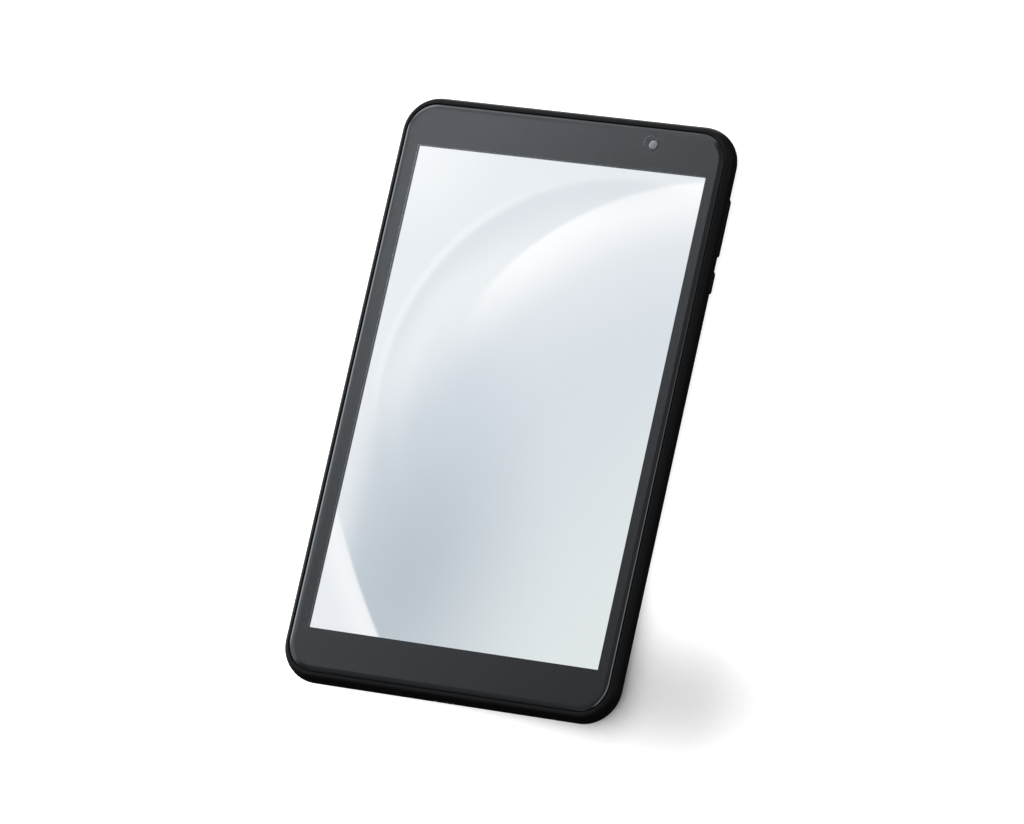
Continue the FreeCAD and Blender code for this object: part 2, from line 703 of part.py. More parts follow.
def flex_connectors():
    """Board sockets, all of one height, that the ribbons press into."""
    sockets = []
    for x, y, size_x, size_y in CONNECTORS.values():
        sockets.append(on_board(x, y, size_x, size_y, Z_CHIPS - Z_BOARD[1]))
    return group(sockets)


# ---- Battery -----------------------------------------------------------------------------
def battery_cell():
    cell = plate((-BATTERY_X, BATTERY_X), BATTERY_Y, Z_BATTERY, 3.0)
    return round_face_edges(cell, 0.8, lambda v: abs(v.Z - Z_BATTERY[0]) < 0.01)


def battery_board():
    return plate((-38.0, 38.0), (50.0, 53.2), (2.2, 4.2), 0.3)


def battery_lead():
    """Three short wires from the protection board to the main board."""
    return group([bar_y(x, 3.75, 0.45, (53.2, 57.3)) for x in (11.6, 13.0, 14.4)])


def battery_adhesive():
    z = (Z_BATTERY[1], Z_PLATE[0])
    return group([plate((-40.0, -14.0), (-48.0, 38.0), z, 1.0), plate((8.0, 40.0), (-48.0, 38.0), z, 1.0)])


def main_flex():
    return plate((-10.0, 4.0), (-81.0, 61.0), (Z_CHIPS, Z_CHIPS + FLEX), 0.8)


# ---- Speakers, microphone ----------------------------------------------------------------
SPEAKER_X = (22.5, 50.0)
SPEAKER_Y = (-99.5, -82.0)
Z_SPEAKER = (1.4, 4.5)


def speaker_box(side):
    """Sealed box with a window for its driver and a spout to the grille."""
    limits = sorted((side * SPEAKER_X[0], side * SPEAKER_X[1]))
    case = plate(limits, SPEAKER_Y, Z_SPEAKER, 1.6)
    spout = block(side * GRILLE_X, -101.0, 13.0, 4.0, (2.5, 4.3))
    duct = obround_y(side * GRILLE_X, GRILLE_Z, 11.4, 1.2, (-103.5, -98.0))
    window = block(side * GRILLE_X, -90.5, 17.2, 11.2, (Z_SPEAKER[1] - 2.6, Z_SPEAKER[1] + 1))
    return fuse([case, spout]).cut([duct, window])


def speaker_drivers():
    drivers = []
    for side in (-1, 1):
        x = side * GRILLE_X
        frame = plate((x - 8.5, x + 8.5), (-96.0, -85.0), (Z_SPEAKER[1] - 2.55, Z_SPEAKER[1]), 2.0)
        groove = plate((x - 7.4, x + 7.4), (-94.9, -86.1), (Z_SPEAKER[1] - 0.35, Z_SPEAKER[1] + 1), 3.0)
        dome = plate((x - 5.0, x + 5.0), (-93.2, -87.8), (Z_SPEAKER[1] - 0.4, Z_SPEAKER[1] - 0.05), 2.0)
        drivers.append(fuse([frame.cut(groove), dome]))
    return group(drivers)


def speaker_mesh():
    """Fine dust screens behind the grille slots."""
    y = (-HALF_Y + WALL, -HALF_Y + WALL + 0.12)
    return group([obround_y(side * GRILLE_X, GRILLE_Z, 12.2, 1.6, y) for side in (-1, 1)])


def microphone():
    return on_board(MIC_X, -99.2, 3.0, 2.4, 0.95)


def microphone_boot():
    """Rubber duct from the wall's pinhole to the microphone."""
    y = (-HALF_Y + WALL + 0.02, -100.4)
    boot = block(MIC_X, (y[0] + y[1]) / 2, 3.0, y[1] - y[0], (3.12, 4.3))
    return boot.cut(bar_y(MIC_X, Z_MIC_HOLE, MIC_DUCT_R, (y[0] - 1, y[1] + 1)))


# ---- Ports -------------------------------------------------------------------------------
def usb_c_shell():
    """Receptacle's steel shell, closed at the back, with four feet on the sub board."""
    shell = obround_y(0, Z_WIDEST, USB_OUTER[0], USB_OUTER[1], USB_Y)
    bore = obround_y(
        0, Z_WIDEST, USB_OUTER[0] - 2 * USB_WALL, USB_OUTER[1] - 2 * USB_WALL,
        (USB_Y[0] - 1, USB_Y[1] - USB_WALL))
    feet = []
    for side in (-1, 1):
        for y in (-100.2, -98.0):
            feet.append(on_board(side * 4.9, y, *USB_FOOT))
    return fuse([shell] + feet).cut(bore)


def usb_c_tongue():
    """Contact tongue and the block that carries it."""
    trim = 2 * USB_WALL + CARRIER_FIT
    carrier = obround_y(
        0, Z_WIDEST, USB_OUTER[0] - trim, USB_OUTER[1] - trim,
        (TONGUE_Y[1] - 0.1, USB_Y[1] - USB_WALL - CARRIER_FIT))
    half_x, half_z = TONGUE_HALF
    tongue = box((-half_x, half_x), TONGUE_Y, (Z_WIDEST - half_z, Z_WIDEST + half_z))
    return fuse([carrier, tongue])


def headphone_jack():
    """Moulded jack body with a blind bore open at the top edge."""
    half = JACK_WIDTH / 2
    body = box((JACK_X - half, JACK_X + half), JACK_Y, Z_JACK)
    long_edges = [e for e in body.Edges if abs(e.Vertexes[0].Y - e.Vertexes[1].Y) > 1]
    body = body.makeFillet(1.0, long_edges)
    return body.cut(bar_y(JACK_X, Z_WIDEST, JACK_BORE_R, (JACK_Y[0] + JACK_END_WALL, JACK_Y[1] + 1)))


def jack_terminals():
    tags = []
    for side in (-1, 1):
        for y in (92.3, 95.3):
            tags.append(on_board(JACK_X + side * 4.1, y, *JACK_TERMINAL))
    return group(tags)


# ---- Cameras -----------------------------------------------------------------------------
def square_body(place, width, z):
    x, y = place
    half = width / 2
    return plate((x - half, x + half), (y - half, y + half), z, 0.5)


def front_camera():
    """Camera body with a barrel; its lens sits at the bottom of the barrel."""
    body = square_body(FRONT_CAMERA, FRONT_BODY, Z_FRONT_BODY)
    barrel = disc(*FRONT_CAMERA, FRONT_BARREL_R, (Z_FRONT_BODY[1], Z_FRONT_BARREL))
    bore = disc(*FRONT_CAMERA, FRONT_BORE_R, (Z_FRONT_LENS[0], Z_FRONT_BARREL + 1))
    return fuse([body, barrel]).cut(bore)


def lens_dome(x, y, radius, low, high, bulge):
    """Disc with a spherical cap on its upper face."""
    sphere_radius = (radius ** 2 + bulge ** 2) / (2 * bulge)
    cap = Part.makeSphere(sphere_radius, Vector(x, y, high - sphere_radius))
    return disc(x, y, radius, (low, high)).common(cap)


def front_camera_lens():
    return lens_dome(*FRONT_CAMERA, FRONT_LENS_R, *Z_FRONT_LENS, 0.3)


def rear_camera():
    body = square_body(REAR_CAMERA, REAR_BODY, Z_REAR_BODY)
    barrel = disc(*REAR_CAMERA, REAR_BARREL_R, (Z_REAR_BARREL, Z_REAR_BODY[0]))
    return fuse([body, barrel]).cut(disc(*REAR_CAMERA, REAR_BORE_R, (0, Z_REAR_LENS)))


def rear_camera_lens():
    """Front element, domed towards the back of the tablet."""
    lens = lens_dome(0, 0, REAR_LENS_R, 0, LENS_THICKNESS, 0.25)
    lens.rotate(Vector(0, 0, 0), Vector(1, 0, 0), 180)
    lens.translate(Vector(*REAR_CAMERA, Z_REAR_LENS))
    return lens


def rear_camera_ring():
    ring = disc(*REAR_CAMERA, RING_R[1], Z_RING).cut(disc(*REAR_CAMERA, RING_R[0], (0, 1)))
    return round_face_edges(ring, 0.15, lambda v: v.Z < Z_RING[0] + 0.01)


def rear_camera_window():
    return disc(*REAR_CAMERA, WINDOW_R, Z_WINDOW)


def camera_flexes():
    z = (Z_CHIPS, Z_CHIPS + FLEX)
    front_x = (FRONT_CAMERA[0] - 2.2, FRONT_CAMERA[0] + 2.2)
    rear_x = (REAR_CAMERA[0] - 2.4, REAR_CAMERA[0] + 2.4)
    front = box(front_x, (81.8, FRONT_CAMERA[1] - FRONT_BODY / 2), z)
    rear = box(rear_x, (80.2, REAR_CAMERA[1] - REAR_BODY / 2), z)
    return group([front, rear])


# ---- Side keys ---------------------------------------------------------------------------
def key(limits_y, presser_offsets):
    """Key cap with a retaining flange and a presser for each switch."""
    middle = sum(limits_y) / 2
    length = limits_y[1] - limits_y[0]
    face = HALF_X + KEY_PROUD
    cap = obround_x(middle, Z_WIDEST, length, KEY_HEIGHT, (X_FLANGE[0], face))
    cap = round_face_edges(cap, KEY_EDGE_R, lambda v: abs(v.X - face) < 0.001)
    flange = obround_x(
        middle, Z_WIDEST, length + 2 * FLANGE_END, KEY_HEIGHT + 2 * FLANGE_LIP, X_FLANGE)
    pressers = [
        bar_x(middle + offset, Z_WIDEST, PRESSER_R, (X_SWITCH[1] + PRESSER_GAP, X_FLANGE[0] + 0.1))
        for offset in presser_offsets
    ]
    return fuse([cap, flange] + pressers)


def power_button():
    return key(POWER_Y, (0.0,))


def volume_rocker():
    """One key for both switches, with a round upright rib in the middle that it rocks on."""
    rocker = key(VOLUME_Y, (-VOLUME_SWITCH_OFFSET, VOLUME_SWITCH_OFFSET))
    middle = sum(VOLUME_Y) / 2
    half_height = KEY_HEIGHT / 2 + FLANGE_LIP
    fulcrum = disc(X_ROCKING_AXIS, middle, FULCRUM_R, (Z_WIDEST - half_height, Z_WIDEST + half_height))
    return fuse([rocker, fulcrum])


def key_switches():
    """Dome switches, two for volume and one for power."""
    middle = sum(VOLUME_Y) / 2
    places = (middle - VOLUME_SWITCH_OFFSET, middle + VOLUME_SWITCH_OFFSET, sum(POWER_Y) / 2)
    switches = []
    for y in places:
        x_dome = X_SWITCH[1] - DOME_HEIGHT
        base = box((X_SWITCH[0], x_dome), (y - SWITCH_WIDTH / 2, y + SWITCH_WIDTH / 2), (2.3, 4.9))
        dome = bar_x(y, Z_WIDEST, DOME_R, (x_dome - 0.01, X_SWITCH[1]))
        switches.append(fuse([base, dome]))
    return group(switches)


def side_key_flex():
    """Ribbon behind the switches, with a tail to the main board."""
    outer = X_SWITCH[0]
    wall_part = box((outer - FLEX, outer), (POWER_Y[0] - 1, VOLUME_Y[1] + 1), (2.2, 4.3))
    height = Z_CHIPS + FLEX / 2
    x = outer - FLEX / 2
    points = [Vector(x, 69, 4.0), Vector(x, 69, height), Vector(48.7, 69, height)]
    tail = bent_strip(points, 0.3, 6.0, FLEX)
    return fuse([wall_part, tail])


def key_bracket():
    """Steel angle that backs the switches."""
    x = (X_SWITCH[0] - FLEX - 0.35, X_SWITCH[0] - FLEX)
    y = (POWER_Y[0] - 2, VOLUME_Y[1] + 2)
    upright = box(x, y, (1.9, 4.2))
    foot = box((x[0] - 1.4, x[1]), y, (1.6, 1.9))
    return fuse([upright, foot])


# ---- Memory-card tray and its ejector ----------------------------------------------------
def card_socket():
    """Pressed cage on the main board that guides the tray and the ejector."""
    base_z = (Z_BOARD[1], Z_BOARD[1] + 0.1)
    wall_z = (Z_BOARD[1], 4.55)
    base = box((-60.0, -37.2), (62.6, 79.4), base_z)
    tray_rail = box((-60.0, TRAY_CARD_X[1]), (64.9, 65.4), wall_z)
    far_rail = box((-60.0, -37.2), (78.8, 79.4), wall_z)
    rod_rail = box((-60.0, -37.2), (62.4, 62.9), wall_z)
    back_wall = box((-37.4, -37.2), (62.4, 79.4), wall_z)
    roof = box((-60.0, TRAY_CARD_X[1]), (64.9, 79.4), (4.4, 4.55))
    window = plate((-56.0, -46.0), (68.5, 76.0), (4, 5), 1.0)
    pin = disc(*LEVER_PIVOT, LEVER_PIN_R, (Z_BOARD[1], 4.3))
    return fuse([base, tray_rail, far_rail, rod_rail, back_wall, roof, pin]).cut(window)


def card_tray(casing):
    """Tray frame with its pocket for one small memory card, and the door in the wall."""
    door = door_prism(0.0, (-HALF_X - 1, TRAY_CARD_X[0])).common(casing)
    door = door.cut(bar_x(ROD_Y, Z_WIDEST, PINHOLE_R, (-HALF_X - 2, TRAY_CARD_X[0] + 1)))
    carrier = plate((TRAY_CARD_X[0] - TRAY_EDGE, TRAY_CARD_X[1]), TRAY_CARD_Y, TRAY_CARD_Z, 0.5)
    middle = sum(TRAY_CARD_Y) / 2
    length, width = POCKET
    pocket = block(POCKET_X, middle, length, width, (TRAY_CARD_Z[0] + POCKET_FLOOR, 5))
    window = block(POCKET_X, middle, length - 2 * POCKET_LEDGE, width - 2 * POCKET_LEDGE, (3, 5))
    return fuse([door, carrier]).cut([pocket, window])


def eject_rod():
    return box(ROD_X, (ROD_Y - ROD_HALF, ROD_Y + ROD_HALF), ROD_Z)


def eject_lever():
    x, y = LEVER_PIVOT
    bar = plate((x - 0.7, x + 0.5), (y - 5.6, y + 5.5), LEVER_Z, 0.4)
    hub = disc(x, y, LEVER_HUB_R, LEVER_Z)
    return fuse([bar, hub]).cut(disc(x, y, LEVER_PIN_R + LEVER_CLEARANCE, (3, 5)))


# ---- Antenna and pads --------------------------------------------------------------------
ANTENNA_CLIPS_X = (-12.0, 8.0)


def wifi_antenna():
    """Printed antenna film on the rear cover."""
    outline = plate((-22.0, 18.0), (90.5, 98.5), (FLOOR, FLOOR + 0.12), 1.0)
    slots = [box((-18.0, -1.0), (94.0, 95.0), (1, 2)), box((3.0, 14.0), (92.5, 93.3), (1, 2))]
    return outline.cut(slots)


def antenna_clips():
    """Spring contacts between the main board and the antenna film."""
    return group([block(x, 91.6, 1.4, 1.2, (FLOOR + 0.12, Z_BOARD[0])) for x in ANTENNA_CLIPS_X])


def build():
    os.makedirs("parts", exist_ok=True)
    casing = casing_form()
    nodes = {
        "rear_cover": rear_cover(casing),
        "front_frame": front_frame(casing),
        "cover_glass": cover_glass(),
        "glass_adhesive": glass_adhesive(),
        "touch_sensor": touch_sensor(),
        "touch_flex": touch_flex(),
        "lcd_gasket": lcd_gasket(),
        "lcd_cell": lcd_cell(),
        "optical_films": optical_films(),
        "light_guide": light_guide(),
        "reflector_sheet": reflector_sheet(),
        "led_strip": led_strip(),
        "backlight_tray": backlight_tray(),
        "display_driver": display_driver(),
        "display_flex": display_flex(),
        "mid_plate": mid_plate(),
        "standoffs": standoffs(),
        "board_screws": board_screws(),
        "main_board": main_board(),
        "sub_board": sub_board(),
        "processor": on_board(-14.0, 74.0, 13.0, 13.0, 0.9),
        "board_chips": board_chips(),
        "wifi_module": on_board(2.0, 95.0, 10.0, 9.0, 1.3),
        "soc_shield": shield(-6.0, 73.0, 32.0, 24.0),
        "power_shield": shield(23.5, 71.5, 20.0, 16.0),
        "thermal_pad": block(-6.0, 74.0, 22.0, 16.0, (Z_CHIPS, Z_PLATE[0])),
        "flex_connectors": flex_connectors(),
        "battery_cell": battery_cell(),
        "battery_board": battery_board(),
        "battery_lead": battery_lead(),
        "battery_adhesive": battery_adhesive(),
        "main_flex": main_flex(),
        "speaker_left": speaker_box(-1),
        "speaker_right": speaker_box(1),
        "speaker_drivers": speaker_drivers(),
        "speaker_mesh": speaker_mesh(),
        "microphone": microphone(),
        "microphone_boot": microphone_boot(),
        "usb_c_shell": usb_c_shell(),
        "usb_c_tongue": usb_c_tongue(),
        "headphone_jack": headphone_jack(),
        "jack_terminals": jack_terminals(),
        "front_camera": front_camera(),
        "front_camera_lens": front_camera_lens(),
        "rear_camera": rear_camera(),
        "rear_camera_lens": rear_camera_lens(),
        "rear_camera_ring": rear_camera_ring(),
        "rear_camera_window": rear_camera_window(),
        "camera_flexes": camera_flexes(),
        "power_button": power_button(),
        "volume_rocker": volume_rocker(),
        "key_switches": key_switches(),
        "side_key_flex": side_key_flex(),
        "key_bracket": key_bracket(),
        "card_socket": card_socket(),
        "card_tray": card_tray(casing),
        "eject_rod": eject_rod(),
        "eject_lever": eject_lever(),
        "wifi_antenna": wifi_antenna(),
        "antenna_clips": antenna_clips(),
    }
    for name, shape in nodes.items():
        export(name, shape)
    return nodes


build()
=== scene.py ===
import json
import math
import bmesh
import bpy
from mathutils import Matrix, Vector


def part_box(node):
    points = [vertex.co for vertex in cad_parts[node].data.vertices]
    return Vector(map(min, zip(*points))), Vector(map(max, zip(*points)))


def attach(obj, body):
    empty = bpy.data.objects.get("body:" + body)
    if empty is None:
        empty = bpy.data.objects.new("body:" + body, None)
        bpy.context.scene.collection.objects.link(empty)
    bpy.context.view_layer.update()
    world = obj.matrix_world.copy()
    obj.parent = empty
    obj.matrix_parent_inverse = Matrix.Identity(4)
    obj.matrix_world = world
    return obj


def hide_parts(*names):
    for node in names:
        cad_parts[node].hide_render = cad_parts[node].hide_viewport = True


# Looks of an eight-inch tablet computer. Metres, in the row frame: the tablet lies on its
# back, +X is the side with the keys, +Y the end with the front camera, +Z out of the screen.

MM = 0.001
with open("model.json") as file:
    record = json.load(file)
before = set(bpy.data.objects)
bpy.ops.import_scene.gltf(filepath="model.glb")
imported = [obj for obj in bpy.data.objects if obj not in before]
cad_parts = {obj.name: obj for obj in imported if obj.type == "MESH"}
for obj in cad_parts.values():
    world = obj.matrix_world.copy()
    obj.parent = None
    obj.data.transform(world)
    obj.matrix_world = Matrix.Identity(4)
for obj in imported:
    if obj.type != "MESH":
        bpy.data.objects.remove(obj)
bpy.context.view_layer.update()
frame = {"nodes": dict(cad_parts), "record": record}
nodes = frame["nodes"]

# ---- Sizes taken from the frame ----------------------------------------------------------
GLASS_LOW, GLASS_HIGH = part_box("cover_glass")
LCD_LOW, LCD_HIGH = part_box("lcd_cell")
LENS_LOW, LENS_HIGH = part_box("front_camera_lens")
LENS_CENTRE = (LENS_LOW + LENS_HIGH) / 2
LENS_PLACE = (LENS_CENTRE.x, LENS_CENTRE.y, 0.0)
REAR_LOW, REAR_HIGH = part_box("rear_camera_window")
REAR_CENTRE = (REAR_LOW + REAR_HIGH) / 2
TONGUE_LOW, TONGUE_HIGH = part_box("usb_c_tongue")
ACTIVE_X = 53.85 * MM      # half the lit area
ACTIVE_Y = 86.15 * MM
WINDOW_GAP = 0.15 * MM     # from the lit area to the printed border
CAMERA_WINDOW_R = 2.7 * MM
LAMP_BASE = 5.565 * MM     # height of the lamps' feet on their ribbon
LAMP_FRONT = -91.7 * MM    # face of the lamps, towards the light guide
INK_LOW = 7.63 * MM
INK_HIGH = 7.65 * MM
PRINT = (0.0077, 0.0081, 0.0089)   # colour of the printed border
LEVEL = 0.9999             # upward part of a flat face's normal, at the least
MIST = (0.66, 0.71, 0.76)          # colours of the display's pattern
DUSK = (0.38, 0.45, 0.50)
PEARL = (0.80, 0.85, 0.84)
HAZE = (0.85, 0.88, 0.89)
WHITE = (1.0, 1.0, 1.0)


# ---- Node trees --------------------------------------------------------------------------
class Tree:
    """Adds nodes to one node tree. Inputs are numbers, tuples or other nodes' outputs."""

    def __init__(self, tree):
        self.tree = tree
        tree.nodes.clear()

    def node(self, kind, inputs=None, **settings):
        made = self.tree.nodes.new("ShaderNode" + kind)
        for key, value in settings.items():
            setattr(made, key, value)
        for key, value in (inputs or {}).items():
            if isinstance(value, bpy.types.NodeSocket):
                self.tree.links.new(value, made.inputs[key])
            else:
                made.inputs[key].default_value = value
        return made

    def math(self, operation, *values):
        return self.node("Math", dict(enumerate(values)), operation=operation).outputs[0]

    def product(self, *values):
        """All the values multiplied together."""
        total = values[0]
        for value in values[1:]:
            total = self.math("MULTIPLY", total, value)
        return total

    def dot(self, a, b):
        """Dot product of two vectors."""
        return self.node("VectorMath", {0: a, 1: b}, operation="DOT_PRODUCT").outputs["Value"]

    def distance(self, a, b):
        return self.node("VectorMath", {0: a, 1: b}, operation="DISTANCE").outputs["Value"]

    def scaled(self, vector, factors):
        return self.node("VectorMath", {0: vector, 1: factors}, operation="MULTIPLY").outputs[0]

    def smooth(self, value, low, high, out_low=0.0, out_high=1.0, kind="SMOOTHSTEP"):
        """out_low up to the low value, out_high past the high one, and a soft step between."""
        inputs = {"Value": value, 1: low, 2: high, 3: out_low, 4: out_high}
        return self.node("MapRange", inputs, interpolation_type=kind).outputs[0]

    def linear(self, value, low, high, out_low=0.0, out_high=1.0):
        return self.smooth(value, low, high, out_low, out_high, "LINEAR")

    def noise(self, vector, scale, detail=2.0, roughness=0.5):
        inputs = {"Vector": vector, "Scale": scale, "Detail": detail, "Roughness": roughness}
        return self.node("TexNoise", inputs).outputs["Fac"]

    def cells(self, vector, scale, feature="F1", randomness=1.0):
        inputs = {"Vector": vector, "Scale": scale, "Randomness": randomness}
        return self.node("TexVoronoi", inputs, feature=feature).outputs["Distance"]

    def mix(self, factor, a, b):
        """Mixture of two colours, each a tuple or another node's output."""
        made = self.node("Mix", {0: factor}, data_type="RGBA")
        for key, colour in ((6, a), (7, b)):
            if isinstance(colour, bpy.types.NodeSocket):
                self.tree.links.new(colour, made.inputs[key])
            else:
                made.inputs[key].default_value = (*colour, 1.0)
        return made.outputs[2]

    def link_output(self, kind, shader):
        self.node(kind, {0: shader})


class Surface(Tree):
    """One material. Positions are in metres in the row frame."""

    def __init__(self, name):
        self.material = bpy.data.materials.new(name)
        self.material.use_nodes = True
        super().__init__(self.material.node_tree)
        self.position = self.node("TexCoord").outputs["Object"]
        axes = self.node("SeparateXYZ", {0: self.position}).outputs
        self.x, self.y, self.z = axes[0], axes[1], axes[2]

    def flat(self):
        """Position in the screen's plane."""
        return self.scaled(self.position, (1.0, 1.0, 0.0))

    def inside(self, half_x, half_y):
        """1 inside a rectangle about the tablet's middle, seen from the front."""
        in_x = self.math("LESS_THAN", self.math("ABSOLUTE", self.x), half_x)
        in_y = self.math("LESS_THAN", self.math("ABSOLUTE", self.y), half_y)
        return self.math("MULTIPLY", in_x, in_y)

    def blend(self, factor, a, b):
        """Mixture of two shaders."""
        return self.node("MixShader", {0: factor, 1: a, 2: b}).outputs[0]

    def bump(self, height, depth):
        inputs = {"Height": height, "Strength": 1.0, "Distance": depth}
        return self.node("Bump", inputs).outputs[0]

    def principled(self, **inputs):
        named = {key.replace("_", " ").title(): value for key, value in inputs.items()}
        made = self.node("BsdfPrincipled")
        for key, value in named.items():
            key = {"Ior": "IOR", "Specular": "Specular IOR Level"}.get(key, key)
            socket = made.inputs[key]
            if isinstance(value, bpy.types.NodeSocket):
                self.tree.links.new(value, socket)
            elif isinstance(value, tuple):
                socket.default_value = (*value, 1.0)
            else:
                socket.default_value = value
        return made.outputs[0]

    def finish(self, shader):
        self.link_output("OutputMaterial", shader)
        return self.material


def shade(colour, factor):
    """The colour made darker or lighter by a factor."""
    return tuple(min(channel * factor, 1.0) for channel in colour)


# ---- Materials ---------------------------------------------------------------------------
def moulded(name, colour, roughness, specular=0.3, grain=0.25 * MM, depth=0.006 * MM, spread=0.12):
    """Moulded plastic with a spark-eroded texture and slight cloudiness."""
    s = Surface(name)
    cloud = s.noise(s.position, 60.0, 3.0)
    tone = s.mix(cloud, shade(colour, 1 - spread), shade(colour, 1 + spread))
    grains = s.noise(s.position, 1 / grain, 2.0, 0.6)
    pits = s.cells(s.position, 0.8 / grain)
    height = s.math("ADD", grains, s.math("MULTIPLY", pits, 0.5))
    rough = s.linear(grains, 0.3, 0.7, roughness - 0.05, roughness + 0.05)
    shader = s.principled(
        base_color=tone, roughness=rough, specular=specular, normal=s.bump(height, depth))
    return s.finish(shader)


def metal(name, colour, roughness, stretch=(1, 1, 1), scale=900.0, depth=0.002 * MM, spread=0.1):
    """Metal whose drawing or brushing marks run along the axis with the smallest stretch."""
    s = Surface(name)
    lines = s.noise(s.scaled(s.position, stretch), scale, 4.0, 0.65)
    stain = s.noise(s.position, 90.0, 3.0)
    tone = s.mix(stain, shade(colour, 1 - spread), shade(colour, 1 + spread))
    rough = s.linear(lines, 0.25, 0.75, roughness - 0.08, roughness + 0.1)
    shader = s.principled(
        base_color=tone, metallic=1.0, roughness=rough, normal=s.bump(lines, depth))
    return s.finish(shader)


def soft_foam(name, colour, cell=0.2 * MM):
    """Matt open cells, darker towards each cell's middle and paler on the rims: painted shade in the
    pits.
    """
    s = Surface(name)
    cells = s.cells(s.position, 1 / cell)
    # Painted shade: the same cells that dip the bump darken their middles.
    tone = s.mix(cells, shade(colour, 0.5), shade(colour, 1.4))
    shader = s.principled(
        base_color=tone, roughness=0.9, specular=0.15, normal=s.bump(cells, 0.02 * MM))
    return s.finish(shader)


def clear_glass():
    """Polished cover glass, whose curved edge shows the colour of the print behind it.

    Over the print it only lets through, because the print carries the gloss of both, but at a
    glancing view it reflects everywhere.
    """
    s = Surface("cover_glass_polished")
    geometry = s.node("NewGeometry").outputs
    outside = s.math("SUBTRACT", 1.0, geometry["Backfacing"])
    facing_up = s.node("SeparateXYZ", {0: geometry["True Normal"]}).outputs[2]
    flat_face = s.math("GREATER_THAN", s.math("ABSOLUTE", facing_up), LEVEL)
    curved = s.math("MULTIPLY", outside, s.math("SUBTRACT", 1.0, flat_face))

    over_camera = s.math("LESS_THAN", s.distance(s.flat(), LENS_PLACE), CAMERA_WINDOW_R)
    window = s.math("MAXIMUM", over_camera, s.inside(ACTIVE_X + WINDOW_GAP, ACTIVE_Y + WINDOW_GAP))
    fresnel = s.node("Fresnel", {"IOR": 1.5}).outputs[0]
    shiny = s.math("MAXIMUM", window, s.smooth(fresnel, 0.08, 0.25))
    share = s.product(fresnel, outside, shiny)
    through = s.node("BsdfTransparent").outputs[0]
    gloss = s.node("BsdfGlossy", {"Roughness": 0.02}).outputs[0]
    sheet = s.blend(share, through, gloss)

    wipe_marks = s.noise(s.position, 60.0, 3.0)
    edge = s.principled(
        base_color=s.mix(wipe_marks, shade(PRINT, 0.9), shade(PRINT, 1.1)),
        roughness=s.linear(wipe_marks, 0.3, 0.7, 0.03, 0.06), specular=0.5)
    return s.finish(s.blend(curved, sheet, edge))


def clear_film(name, tint, pitch=5.0 * MM):
    """Clear laminate with the faintest trace of its diamond electrode pattern."""
    s = Surface(name)
    along = s.math("PINGPONG", s.math("ADD", s.x, s.y), pitch / 2)
    across = s.math("PINGPONG", s.math("SUBTRACT", s.x, s.y), pitch / 2)
    gap = s.math("LESS_THAN", s.math("MINIMUM", along, across), 0.03 * MM)
    colour = s.mix(gap, tint, shade(tint, 0.995))
    return s.finish(s.node("BsdfTransparent", {"Color": colour}).outputs[0])


